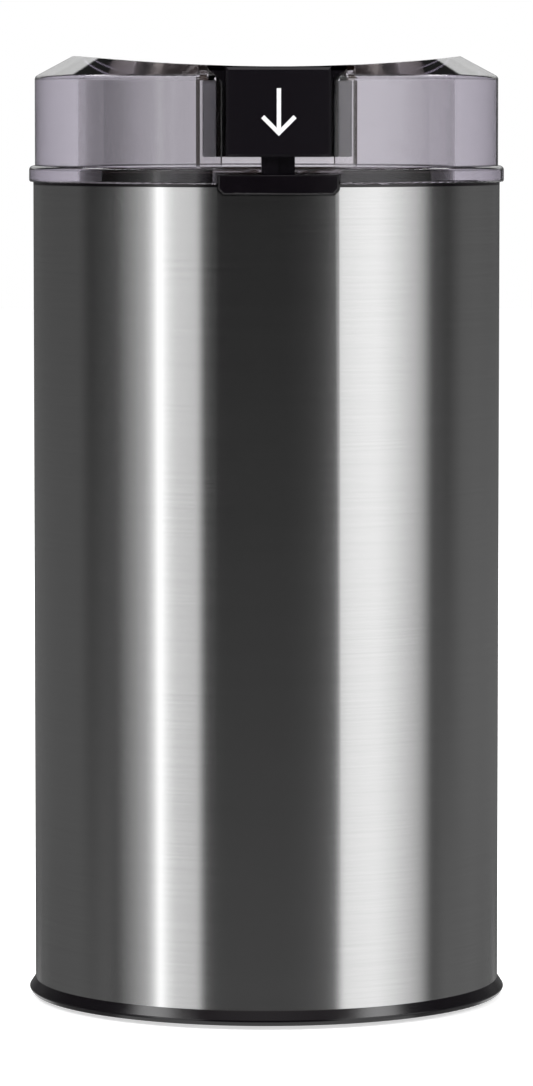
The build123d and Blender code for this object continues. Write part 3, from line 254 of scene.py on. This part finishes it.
def enamelled_copper():
    """Copper wire wound in layers under amber enamel: round glossy strands."""
    material, tree, shader = new_material("enamelled_copper", Metallic=0.75, Coat_Weight=0.6)
    strands = object_pattern(tree, size_mm=0.6, stretch=(1, 1, 25), detail=1.0)
    vary(tree, shader, strands, srgb("#7a3a1c"), srgb("#c4703a"), rough=(0.22, 0.36), bump_mm=0.12)
    return material


def turned_copper():
    """Commutator copper, turned on a lathe."""
    material, tree, shader = new_material("turned_copper", Metallic=1.0)
    rings = object_pattern(tree, size_mm=0.25, stretch=(40, 40, 1))
    vary(tree, shader, rings, srgb("#b06a48"), srgb("#dc9a74"), rough=(0.18, 0.3), bump_mm=0.004)
    return material


def stamped_brass():
    """Stamped brass strip: warm yellow with rolling lines."""
    material, tree, shader = new_material("stamped_brass", Metallic=1.0)
    lines = object_pattern(tree, size_mm=0.4, stretch=(1, 20, 1))
    vary(tree, shader, lines, srgb("#b1924d"), srgb("#d9bd76"), rough=(0.2, 0.32))
    return material


def sintered_bronze():
    """Oil-filled sintered bronze: dull brown-gold and finely porous."""
    material, tree, shader = new_material("sintered_bronze", Metallic=1.0)
    pores = object_pattern(tree, size_mm=0.3)
    vary(tree, shader, pores, srgb("#6d5230"), srgb("#a88752"), rough=(0.4, 0.55), bump_mm=0.02)
    return material


def pressed_carbon():
    """Pressed carbon and graphite: near black with a grey gleam."""
    material, tree, shader = new_material("pressed_carbon", IOR=1.7)
    grain = object_pattern(tree, size_mm=0.25)
    vary(tree, shader, grain, srgb("#1d1d1f"), srgb("#37373a"), rough=(0.45, 0.6), bump_mm=0.01)
    return material


def phenolic_moulding():
    """Brown-black phenolic resin with wood flour in it."""
    material, tree, shader = new_material("phenolic_moulding", IOR=1.6)
    flour = object_pattern(tree, size_mm=0.7)
    vary(tree, shader, flour, srgb("#2c1f17"), srgb("#46352a"), rough=(0.34, 0.46), bump_mm=0.01)
    return material


def natural_nylon():
    """Undyed nylon: milky ivory that lets a little light in."""
    material, tree, shader = new_material("natural_nylon", IOR=1.53, Subsurface_Weight=0.25,
                                          Subsurface_Radius=(0.0015, 0.0013, 0.001))
    milk = object_pattern(tree, size_mm=3.0)
    vary(tree, shader, milk, srgb("#cfcab9"), srgb("#e3dfd0"), rough=(0.38, 0.48))
    return material


def capacitor_moulding():
    """Ochre moulded case with a fine satin grain."""
    material, tree, shader = new_material("capacitor_moulding", IOR=1.53)
    grain = object_pattern(tree, size_mm=0.3)
    vary(tree, shader, grain, srgb("#c08a2c"), srgb("#d7a344"), rough=(0.34, 0.44), bump_mm=0.008)
    return material


def red_pvc():
    """Soft PVC insulation: dark red with a slight sheen."""
    material, tree, shader = new_material("red_pvc", IOR=1.52)
    bloom = object_pattern(tree, size_mm=1.5)
    vary(tree, shader, bloom, srgb("#7f1d1c"), srgb("#9a2a27"), rough=(0.34, 0.46))
    return material


FINISHES = {
    "black_abs": moulded_black_satin,
    "black_gloss": moulded_black_gloss,
    "clear_smoke": clear_smoke_plastic,
    "brushed_sleeve": brushed_stainless,
    "bowl_steel": drawn_stainless,
    "black_rubber": black_rubber,
    "zinc_steel": zinc_plate,
    "ground_steel": ground_steel,
    "spring_steel": spring_steel,
    "core_steel": laminated_core,
    "copper_wire": enamelled_copper,
    "copper_bar": turned_copper,
    "brass": stamped_brass,
    "bronze": sintered_bronze,
    "carbon": pressed_carbon,
    "phenolic": phenolic_moulding,
    "nylon": natural_nylon,
    "capacitor_case": capacitor_moulding,
    "lead_jacket": red_pvc,
}


def finish(maker):
    """The material that a function makes, made the first time it is asked for."""
    return bpy.data.materials.get(maker.__name__) or maker()


def paint(node, maker):
    """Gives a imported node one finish."""
    obj = frame["nodes"][node]
    obj.data.materials.clear()
    obj.data.materials.append(finish(maker))


def dress(*nodes):
    """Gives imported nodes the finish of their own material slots."""
    slots = {part["node"]: part["material_slot"] for part in frame["record"]["subparts"]}
    for node in nodes:
        paint(node, FINISHES[slots[node]])


def add_object(name, bm, material):
    """A new object in the scene, from a bmesh that is used up."""
    mesh = bpy.data.meshes.new(name)
    bm.to_mesh(mesh)
    bm.free()
    mesh.materials.append(material)
    obj = bpy.data.objects.new(name, mesh)
    bpy.context.scene.collection.objects.link(obj)
    return obj


def new_piece(name, bm, material, body, stands_for=()):
    """A new piece that rides on a body. It may have a slot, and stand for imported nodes."""
    obj = add_object(name, bm, material)
    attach(obj, body)
    if stands_for:
        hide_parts(*stands_for)
    return obj


# Settings

def colour_setting(name, description, code):
    """A colour property whose default is a hex colour."""
    return bpy.props.FloatVectorProperty(name=name, description=description, default=srgb(code), size=4,
                                         min=0.0, max=1.0, subtype="COLOR")


def length_setting(name, description, default):
    """A length property, in metres."""
    return bpy.props.FloatProperty(name=name, description=description, default=default, unit="LENGTH",
                                   precision=5)


class GrinderColours(bpy.types.PropertyGroup):
    """Colours of the finishes that show."""
    steel: colour_setting("Steel", "Brushed sleeve", "#d4d4d4")
    trim: colour_setting("Trim", "Glossy black of the collar and the base", "#100d11")
    button: colour_setting("Button", "Satin black of the button and the inner mouldings", "#151217")
    ink: colour_setting("Ink", "Printed arrow", "#f8f7f9")
    guides: colour_setting("Guides", "Grey of the button's guides", "#a3a1a8")
    lid: colour_setting("Lid", "Surface of the clear lid", "#fdfcfd")
    smoke: colour_setting("Smoke", "What the lid's plastic lets through", "#a095ad")
    smoke_density: bpy.props.FloatProperty(name="Smoke density", default=48.0, min=0.0,
                                           description="How fast the lid's plastic darkens, per metre")


class GrinderMark(bpy.types.PropertyGroup):
    """The printed mark on the button."""
    height: length_setting("Height", "Height of the arrow", 9.4 * MM)
    reach: length_setting("Reach", "Half width of the arrow head", 3.5 * MM)
    stroke: length_setting("Stroke", "Width of the arrow's lines", 0.85 * MM)
    ink: length_setting("Ink", "Thickness of the ink", 0.03 * MM)
    face: length_setting("Face", "Height of the button's face", 17.7 * MM)
    crown: length_setting("Crown", "Radius of the button's crowned face", 110 * MM)


class GrinderGuides(bpy.types.PropertyGroup):
    """The two guides that hold the button upright behind the lid's front wall."""
    width: length_setting("Width", "How far a guide stands out beside the button", 2.7 * MM)
    thickness: length_setting("Thickness", "Front to back", 1.2 * MM)
    inset: length_setting("Inset", "From the ends of the button's ears in to its guides", 1.55 * MM)
    ears: length_setting("Ears", "From the button's top down to its ears' underside", 2.6 * MM)
    depth: length_setting("Depth", "Front to back of the button's ears", 1.6 * MM)
    round: length_setting("Round", "Rounding of the guides' edges", 0.3 * MM)


class GrinderStudio(bpy.types.PropertyGroup):
    """Camera, floor and the reflecting tent."""
    distance: length_setting("Distance", "From the camera to the axis", 1.15)
    eye: length_setting("Eye height", "Height of the camera", 0.183)
    aim: length_setting("Aim height", "Height that the camera looks at", 0.0938)
    turn: bpy.props.FloatProperty(name="Turn", description="How far the camera stands to the left",
                                  default=math.radians(2.9), subtype="ANGLE")
    lens: bpy.props.FloatProperty(name="Lens", description="Focal length", default=184.7, unit="CAMERA")
    tent_radius: length_setting("Tent radius", "Radius of the reflecting tent", 1.4)
    tent_height: length_setting("Tent height", "Height of the tent above the floor, and its depth below", 1.6)
    floor_size: length_setting("Floor size", "Side of the floor", 8.0)


# Pieces

class GRINDER_OT_sleeve(bpy.types.Operator):
    """Brush the steel sleeve around the body"""
    bl_idname = "grinder.sleeve"
    bl_label = "Steel Sleeve"

    def execute(self, context):
        dress("steel_sleeve")
        return {"FINISHED"}


class GRINDER_OT_base(bpy.types.Operator):
    """Finish the base cover with its feet, screws and cord gland"""
    bl_idname = "grinder.base"
    bl_label = "Base"

    def execute(self, context):
        dress("rubber_feet", "base_screws", "cord_gland")
        paint("base_cover", moulded_black_gloss)
        return {"FINISHED"}


class GRINDER_OT_collar(bpy.types.Operator):
    """Finish the collar on top of the body and the housing below it"""
    bl_idname = "grinder.collar"
    bl_label = "Collar and Housing"

    def execute(self, context):
        dress("inner_housing")
        paint("top_collar", moulded_black_gloss)
        return {"FINISHED"}


class GRINDER_OT_lid(bpy.types.Operator):
    """Make the lid clear"""
    bl_idname = "grinder.lid"
    bl_label = "Lid"

    def execute(self, context):
        dress("lid_shell")
        return {"FINISHED"}


class GRINDER_OT_springs(bpy.types.Operator):
    """Make the two coil springs under the button and its rod"""
    bl_idname = "grinder.springs"
    bl_label = "Springs"

    def execute(self, context):
        springs = (("button_spring", "lid", "button_press"), ("rod_spring", "base", "rod_slide"))
        for node, body, joint in springs:
            dress(node)
            bm = bmesh.new()
            bm.from_mesh(frame["nodes"][node].data)
            bmesh.ops.remove_doubles(bm, verts=bm.verts, dist=MERGE)
            for face in bm.faces:
                face.smooth = True
            coil = new_piece(node + "_coil", bm, finish(spring_steel), body, [node])
            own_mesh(coil)
        return {"FINISHED"}


class GRINDER_OT_button(bpy.types.Operator):
    """Finish the push button, print a plain arrow on it and make its guides"""
    bl_idname = "grinder.button"
    bl_label = "Push Button"

    def execute(self, context):
        dress("push_rod")
        paint("press_button", moulded_black_satin)
        mark = context.scene.grinder_mark
        low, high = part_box("press_button")
        self.add_mark(mark, low.y, high.z)
        self.add_guides(context.scene.grinder_guides, high, mark.face)
        return {"FINISHED"}

    def add_mark(self, mark, front, top):
        """The arrow, as a thin layer of ink that follows the button's crown."""
        middle = top - mark.face / 2
        stroke = mark.stroke
        reach = mark.reach
        tip = -mark.height / 2
        slant = stroke / math.sqrt(2)
        right = [(stroke / 2, mark.height / 2), (stroke / 2, tip + stroke / 2 + 2 * slant),
                 (reach - slant, tip + reach + slant), (reach, tip + reach)]
        outline = right + [(0, tip)] + [(-x, z) for x, z in reversed(right)]
        bm = bmesh.new()
        face = bm.faces.new([bm.verts.new((x, front - mark.ink, middle + z)) for x, z in outline])
        sides = bmesh.ops.extrude_face_region(bm, geom=[face])["geom"]
        moved = [v for v in sides if isinstance(v, bmesh.types.BMVert)]
        bmesh.ops.translate(bm, verts=moved, vec=(0, mark.ink * 2, 0))
        bmesh.ops.recalc_face_normals(bm, faces=bm.faces)
        for vert in bm.verts:
            vert.co.y += mark.crown - math.sqrt(mark.crown ** 2 - vert.co.x ** 2)
        new_piece("press_mark", bm, white_print(), "button")

    def add_guides(self, guides, high, face):
        """Two rounded strips, one on either side of the button."""
        inner = high.x - guides.inset
        top = high.z - guides.ears
        height = top - (high.z - face)
        front = high.y - guides.depth
        bm = bmesh.new()
        for side in (-1, 1):
            strip = bmesh.ops.create_cube(bm, size=1.0)["verts"]
            bmesh.ops.scale(bm, verts=strip, vec=(guides.width, guides.thickness, height))
            bmesh.ops.translate(bm, verts=strip, vec=(side * (inner + guides.width / 2),
                                                      front + guides.thickness / 2, top - height / 2))
        bmesh.ops.bevel(bm, geom=bm.edges[:], offset=guides.round, offset_type="OFFSET", affect="EDGES",
                        segments=3, profile=0.5, material=-1)
        new_piece("button_guides", bm, grey_nylon(), "button")


class GRINDER_OT_bowl(bpy.types.Operator):
    """Finish the grinding bowl, its bush and seal, and the blade on its hub"""
    bl_idname = "grinder.bowl"
    bl_label = "Bowl and Blade"

    def execute(self, context):
        dress("grinding_bowl", "bowl_bush", "shaft_seal", "blade_hub", "blade_nut")
        paint("grinding_blade", ground_blade_steel)
        return {"FINISHED"}


class GRINDER_OT_motor(bpy.types.Operator):
    """Finish the motor with its brackets, coils, brushes and fan"""
    bl_idname = "grinder.motor"
    bl_label = "Motor"

    def execute(self, context):
        dress("upper_bracket", "lower_bracket", "upper_bearing", "lower_bearing")
        dress("stator_core", "field_coils", "motor_bolts", "motor_nuts", "motor_mounts", "mount_screws")
        dress("brush_holders", "carbon_brushes", "brush_springs")
        dress("motor_shaft", "armature_core", "armature_winding", "commutator")
        dress("cooling_fan", "thrust_washers")
        return {"FINISHED"}


class GRINDER_OT_switch(bpy.types.Operator):
    """Finish the switch, its lever and the wiring"""
    bl_idname = "grinder.switch"
    bl_label = "Switch and Wiring"

    def execute(self, context):
        dress("switch_body", "switch_lever", "lever_pin", "switch_plunger")
        dress("switch_terminals", "switch_screws")
        dress("terminal_block", "terminal_screws", "suppressor_capacitor")
        dress("switch_lead", "field_lead", "brush_lead", "bridge_lead")
        return {"FINISHED"}


# Studio

WHITE = (1, 1, 1, 1)
GREY = (0.5, 0.5, 0.5, 1)
# Painted shade: the dark colour that the tent shows, in place of its bands, to light that has gone through
# much of the lid
DEEP_LID_SHADE = srgb("#33251f")
# Sky that reflections and the lid's plastic show: sine of its height, and colour
SKY = [(0.3, WHITE), (0.5, srgb("#3a2c26")), (0.78, srgb("#3a2c26")), (0.9, srgb("#e6e4e6"))]
# Part of a turn, either way from the camera, past which the tent hangs behind the object
BEHIND = 0.28
# How much of the painted shade is left to light that the bowl has mirrored too
BOWL_SHADE_SHARE = 0.35
# The lid's plastic shows the floor's paper with painted shade: metres from the axis, full up to the first and
# none from the second
FULL_SHADE = 0.16
NO_SHADE = 0.42
PAINTED_PAPER_SHADE = srgb("#857f7c")
# Light of its own that the paper shows to the camera, so that it is as white as the background
PAPER_LIFT = 0.6
# Area lights: place and width in metres, and watts
LIGHTS = {
    "left_key": ((-1.0, -0.9, 1.3), 0.9, 16.0),
    "right_fill": ((1.1, -0.8, 1.0), 0.9, 11.0),
    "back_top": ((0.1, 0.9, 1.5), 1.0, 11.0),
}
LIGHTS_AIM = Vector((0, 0, 0.1))
TENT_STEPS = 96

# Soft boxes of the tent: degrees to the right of the camera, and brightness
LEFT_BOX = [(-78, 0.1), (-67, 0.42), (-60, 0.68), (-56, 1.2), (-53, 2.5), (-50, 1.4), (-45, 0.98), (-33, 0.9)]
RIGHT_BOX = [(37, 1.28), (47, 1.4), (55, 1.46), (63, 1.26), (71, 1.0), (80, 0.68), (88, 0.1)]
# Degrees over which the strip behind the object fades into the cloth at the sides
STRIP_FADE = 7


def cloth_around(flank, flag, back, spread=7, strength=1.0):
    """The tent at one height, as degrees and brightness: its boxes, the black flag between them in front, the
    grey cloth at its sides, and a lighter strip behind the object that spreads so many degrees either way."""
    edge = 180 - spread
    left = [(-edge, back), (STRIP_FADE - edge, flank), (-104, flank), (-95, flag + 0.03), (-86, flag + 0.05)]
    front = [(-30.5, flag + 0.015), (-23, flag), (10, flag), (18, flag + 0.01), (25, flag + 0.03),
             (34.5, flag + 0.08)]
    right = [(99, 1.6 * flag + 0.035), (111, 1.3 * flank), (124, 1.4 * flank), (edge - STRIP_FADE, flank),
             (edge, back)]
    boxes = [[(degrees, level * strength) for degrees, level in box] for box in (LEFT_BOX, RIGHT_BOX)]
    return left + boxes[0] + front + boxes[1] + right


def cloth_above(level):
    """The rim of the tent, as degrees and brightness: a strip light along either side."""
    left = [(-150, 0.03), (-140, level), (-45, level), (-35, 0.0)]
    return left + [(-degrees, light) for degrees, light in reversed(left)]


# Heights on the tent, from its rim down. The lid's bead mirrors the rim, its sloping shoulder the soft box
# behind, and the sleeve the heights below, from its top edge to its foot.
TENT_ROWS = [
    (1.60, cloth_above(5.0)),
    (1.33, cloth_above(5.0)),
    (1.25, cloth_around(0.05, 0.0, 0.05, spread=25)),
    (0.91, cloth_around(0.05, 0.0, 0.05, spread=25)),
    (0.86, cloth_around(0.05, 0.0, 1.75, spread=25)),
    (0.65, cloth_around(0.05, 0.0, 1.3, spread=25)),
    (0.40, cloth_around(0.08, 0.0, 0.85, spread=25)),
    (0.24, cloth_around(0.12, 0.0, 0.3)),
    (0.15, cloth_around(0.08, 0.0, 0.1)),
    (0.03, cloth_around(0.12, 0.0, 0.08, strength=0.97)),
    (-0.12, cloth_around(0.14, 0.07, 0.08, strength=0.93)),
    (-0.21, cloth_around(0.09, 0.09, 0.12, spread=9, strength=0.89)),
    (-0.3, cloth_around(0.1, 0.1, 0.75, spread=22, strength=0.86)),
    (-0.42, cloth_around(0.2, 0.12, 0.85, spread=30, strength=0.86)),
]


# Where straight back lies on the surround's gradient, as part of a turn
STRAIGHT_BACK = 0.75
# Paper behind the object as the lid shows it, with painted shade in bands: degrees to the right of straight
# back, and brightness
PAINTED_BACKDROP = [(30, 0.87), (20, 0.87), (9, 0.95), (3, 0.85), (-2, 0.68), (-6, 0.64), (-10, 0.45), (-18, 0.4),
            (-24, 0.5), (-29, 0.78), (-40, 1.0)]


def cloth_colour(tree, angle, height):
    """The colour of the tent's cloth: the bands of each row, which fade into those of the row below."""
    cloth = None
    for level, bands in TENT_ROWS:
        stops = [((degrees + 180) / 360, (light, light, light, 1)) for degrees, light in bands]
        row = add(tree, "ShaderNodeValToRGB", {"Fac": angle}, stops=stops).outputs["Color"]
        if cloth:
            fade = add(tree, "ShaderNodeMapRange", {"Value": height, "From Min": above, "From Max": level},
                       interpolation_type="SMOOTHSTEP")
            row = add(tree, "ShaderNodeMix", {0: fade.outputs[0], 6: cloth, 7: row},
                      data_type="RGBA").outputs[2]
        cloth = row
        above = level
    return cloth


def tent_material(turn):
    """White and black cloth hung around the object: soft boxes and flags that only reflections see, with
    painted shade for light that has gone deep into the lid.
    """
    material = bpy.data.materials.new("reflecting_tent")
    material.use_nodes = True
    tree = material.node_tree
    tree.nodes.clear()
    place = add(tree, "ShaderNodeTexCoord")
    turned = add(tree, "ShaderNodeMapping", {"Vector": place.outputs["Object"],
                                             "Rotation": (0, 0, math.pi / 2 + turn)})
    angle = add(tree, "ShaderNodeTexGradient", {"Vector": turned.outputs[0]}, gradient_type="RADIAL")
    height = add(tree, "ShaderNodeSeparateXYZ", {"Vector": place.outputs["Object"]})
    cloth = cloth_colour(tree, angle.outputs["Fac"], height.outputs["Z"])
    # Depths count bounces, so they are compared at halves. Only mirrored light meets the tent, and light that
    # has gone through one wall of the lid passes through it behind the object.
    rays = add(tree, "ShaderNodeLightPath")
    mirrored = add(tree, "ShaderNodeMath", {0: rays.outputs["Glossy Depth"], 1: 0.5},
                   operation="GREATER_THAN")
    in_wall = add(tree, "ShaderNodeMath", {0: rays.outputs["Transmission Depth"], 1: 1.5, 2: 1.0},
                  operation="COMPARE")
    aside = add(tree, "ShaderNodeMath", {0: angle.outputs["Fac"], 1: 0.5}, operation="SUBTRACT")
    aside = add(tree, "ShaderNodeMath", {0: aside.outputs[0]}, operation="ABSOLUTE")
    behind = add(tree, "ShaderNodeMath", {0: aside.outputs[0], 1: BEHIND}, operation="GREATER_THAN")
    in_wall = add(tree, "ShaderNodeMath", {0: in_wall.outputs[0], 1: behind.outputs[0]}, operation="MULTIPLY")
    # Painted shade: light that has gone through more of the lid meets a dark colour in place of the cloth
    lid_shade_mask = add(tree, "ShaderNodeMath", {0: rays.outputs["Transmission Depth"], 1: 2.5},
                 operation="GREATER_THAN")
    share = add(tree, "ShaderNodeMapRange", {"Value": rays.outputs["Glossy Depth"], "From Min": 1.0,
                                             "From Max": 2.0, "To Min": 1.0, "To Max": BOWL_SHADE_SHARE})
    lid_shade_mask = add(tree, "ShaderNodeMath", {0: lid_shade_mask.outputs[0], 1: share.outputs[0]}, operation="MULTIPLY")
    cloth = add(tree, "ShaderNodeMix", {0: lid_shade_mask.outputs[0], 6: cloth, 7: DEEP_LID_SHADE},
                data_type="RGBA").outputs[2]
    glow = add(tree, "ShaderNodeEmission", {"Color": cloth, "Strength": 1.0})
    seen = add(tree, "ShaderNodeMath", {0: mirrored.outputs[0], 1: in_wall.outputs[0]}, operation="SUBTRACT",
               use_clamp=True)
    clear = add(tree, "ShaderNodeBsdfTransparent")
    shown = add(tree, "ShaderNodeMixShader", {0: seen.outputs[0], 1: clear.outputs[0], 2: glow.outputs[0]})
    add(tree, "ShaderNodeOutputMaterial", {"Surface": shown.outputs[0]})
    return material


def floor_material():
    """Matt white paper: it takes the shadow, and the lid's plastic shows it with painted shade around the
    object.
    """
    material, tree, shader = new_material("white_paper_floor", Roughness=0.9, IOR=1.3)
    fibre = object_pattern(tree, size_mm=1.2)
    vary(tree, shader, fibre, srgb("#e9e9ea"), srgb("#efeff0"), rough=(0.85, 0.95))
    rays = add(tree, "ShaderNodeLightPath")
    paper = shader.inputs["Base Color"].links[0].from_socket
    place = add(tree, "ShaderNodeTexCoord")
    reach = add(tree, "ShaderNodeVectorMath", {0: place.outputs["Object"]}, operation="LENGTH")
    # Painted shade: light that has come through the lid sees the paper darker near the object's axis
    near = add(tree, "ShaderNodeMapRange", {"Value": reach.outputs["Value"], "From Min": NO_SHADE,
                                            "From Max": FULL_SHADE}, interpolation_type="SMOOTHSTEP")
    bent = add(tree, "ShaderNodeMath", {0: near.outputs[0], 1: rays.outputs["Is Transmission Ray"]},
               operation="MULTIPLY")
    through = add(tree, "ShaderNodeMix", {0: bent.outputs[0], 6: paper, 7: PAINTED_PAPER_SHADE}, data_type="RGBA")
    tree.links.new(through.outputs[2], shader.inputs["Base Color"])
    shader.inputs["Emission Color"].default_value = WHITE
    lift = add(tree, "ShaderNodeMath", {0: rays.outputs["Is Camera Ray"], 1: PAPER_LIFT},
               operation="MULTIPLY")
    tree.links.new(lift.outputs[0], shader.inputs["Emission Strength"])
    return material


class GRINDER_OT_studio(bpy.types.Operator):
    """Set the floor, the tent, the lights, the white surround and the camera"""
    bl_idname = "grinder.studio"
    bl_label = "Studio"

    def add_stage(self, name, bm, material):
        """A thing of the studio, which isn't part of the object."""
        obj = add_object(name, bm, material)
        return obj

    def add_light(self, name, place, size, power):
        """A round soft light that no reflection shows."""
        lamp = bpy.data.lights.new(name, "AREA")
        lamp.shape = "DISK"
        lamp.size = size
        lamp.energy = power
        obj = bpy.data.objects.new(name, lamp)
        bpy.context.scene.collection.objects.link(obj)
        obj.location = place
        aim = LIGHTS_AIM - Vector(place)
        obj.rotation_euler = aim.to_track_quat("-Z", "Y").to_euler()
        obj.visible_glossy = False
        obj.visible_transmission = False

    def add_world(self):
        """White to the camera, grey to plain light, and sky and paper to reflections and the lid; the paper
        that the lid shows straight through has painted shade.
        """
        world = bpy.data.worlds.new("white_surround")
        bpy.context.scene.world = world
        world.use_nodes = True
        tree = world.node_tree
        tree.nodes.clear()
        rays = add(tree, "ShaderNodeLightPath")
        bent = add(tree, "ShaderNodeMath", {0: rays.outputs["Is Glossy Ray"],
                                            1: rays.outputs["Is Transmission Ray"]}, operation="MAXIMUM")
        way = add(tree, "ShaderNodeTexCoord")
        rise = add(tree, "ShaderNodeSeparateXYZ", {"Vector": way.outputs["Generated"]})
        walls = add(tree, "ShaderNodeValToRGB", {"Fac": rise.outputs["Z"]}, stops=SKY)
        around = add(tree, "ShaderNodeTexGradient", {"Vector": way.outputs["Generated"]},
                     gradient_type="RADIAL")
        # Painted shade: light that comes straight through the lid sees the sky darkened by the paper's bands
        # behind the object
        stops = [(STRAIGHT_BACK - degrees / 360, (light, light, light, 1)) for degrees, light in PAINTED_BACKDROP]
        paper = add(tree, "ShaderNodeValToRGB", {"Fac": around.outputs["Fac"]}, stops=stops)
        straight = add(tree, "ShaderNodeMath", {0: 1.0, 1: rays.outputs["Glossy Depth"]},
                       operation="SUBTRACT", use_clamp=True)
        walls = add(tree, "ShaderNodeMix", {0: straight.outputs[0], 6: walls.outputs[0], 7: paper.outputs[0]},
                    data_type="RGBA", blend_type="MULTIPLY")
        colour = add(tree, "ShaderNodeMix", {0: bent.outputs[0], 6: GREY, 7: walls.outputs[2]},
                     data_type="RGBA")
        colour = add(tree, "ShaderNodeMix", {0: rays.outputs["Is Camera Ray"], 6: colour.outputs[2],
                                             7: WHITE}, data_type="RGBA")
        sky = add(tree, "ShaderNodeBackground", {"Color": colour.outputs[2], "Strength": 1.0})
        add(tree, "ShaderNodeOutputWorld", {"Surface": sky.outputs[0]})

    def add_camera(self, studio):
        """A long lens a little above the object, looking at its axis."""
        camera = bpy.data.cameras.new("camera")
        camera.lens = studio.lens
        obj = bpy.data.objects.new("camera", camera)
        bpy.context.scene.collection.objects.link(obj)
        obj.location = (-studio.distance * math.sin(studio.turn), -studio.distance * math.cos(studio.turn),
                        studio.eye)
        aim = Vector((0, 0, studio.aim)) - obj.location
        obj.rotation_euler = aim.to_track_quat("-Z", "Y").to_euler()
        bpy.context.scene.camera = obj

    def execute(self, context):
        studio = context.scene.grinder_studio
        context.scene.view_settings.view_transform = "Standard"
        floor = bmesh.new()
        bmesh.ops.create_grid(floor, x_segments=1, y_segments=1, size=studio.floor_size / 2)
        ground = self.add_stage("floor", floor, floor_material())
        ground.visible_glossy = False
        wall = bmesh.new()
        foot = [wall.verts.new((studio.tent_radius, 0, z)) for z in (-studio.tent_height, studio.tent_height)]
        edge = wall.edges.new(foot)
        bmesh.ops.spin(wall, geom=[*foot, edge], cent=(0, 0, 0), axis=(0, 0, 1), angle=math.tau,
                       steps=TENT_STEPS, use_merge=True)
        tent = self.add_stage("reflecting_tent", wall, tent_material(studio.turn))
        for rays in ("camera", "diffuse", "shadow", "volume_scatter"):
            setattr(tent, "visible_" + rays, False)
        for name, (place, size, power) in LIGHTS.items():
            self.add_light(name, place, size, power)
        self.add_world()
        self.add_camera(studio)
        return {"FINISHED"}


class GRINDER_PT_panel(bpy.types.Panel):
    """The grinder's pieces and studio"""
    bl_idname = "GRINDER_PT_panel"
    bl_label = "Coffee Grinder"
    bl_space_type = "VIEW_3D"
    bl_region_type = "UI"
    bl_category = "Grinder"

    def draw(self, context):
        for operator in OPERATORS:
            self.layout.operator(operator.bl_idname)
        for name, group in SETTINGS.items():
            box = self.layout.box()
            for setting in group.__annotations__:
                box.prop(getattr(context.scene, name), setting)


OPERATORS = (GRINDER_OT_sleeve, GRINDER_OT_base, GRINDER_OT_collar, GRINDER_OT_lid, GRINDER_OT_springs,
             GRINDER_OT_button, GRINDER_OT_bowl, GRINDER_OT_motor, GRINDER_OT_switch, GRINDER_OT_studio)
SETTINGS = {"grinder_colours": GrinderColours, "grinder_mark": GrinderMark, "grinder_guides": GrinderGuides,
            "grinder_studio": GrinderStudio}
CLASSES = (*SETTINGS.values(), *OPERATORS, GRINDER_PT_panel)


def register():
    for cls in CLASSES:
        bpy.utils.register_class(cls)
    for name, group in SETTINGS.items():
        setattr(bpy.types.Scene, name, bpy.props.PointerProperty(type=group))


def unregister():
    for name in SETTINGS:
        delattr(bpy.types.Scene, name)
    for cls in reversed(CLASSES):
        bpy.utils.unregister_class(cls)


def main():
    """Makes every piece and the studio."""
    register()
    bpy.ops.grinder.sleeve()
    bpy.ops.grinder.base()
    bpy.ops.grinder.collar()
    bpy.ops.grinder.lid()
    bpy.ops.grinder.springs()
    bpy.ops.grinder.button()
    bpy.ops.grinder.bowl()
    bpy.ops.grinder.motor()
    bpy.ops.grinder.switch()
    bpy.ops.grinder.studio()


if __name__ == "__main__":
    main()
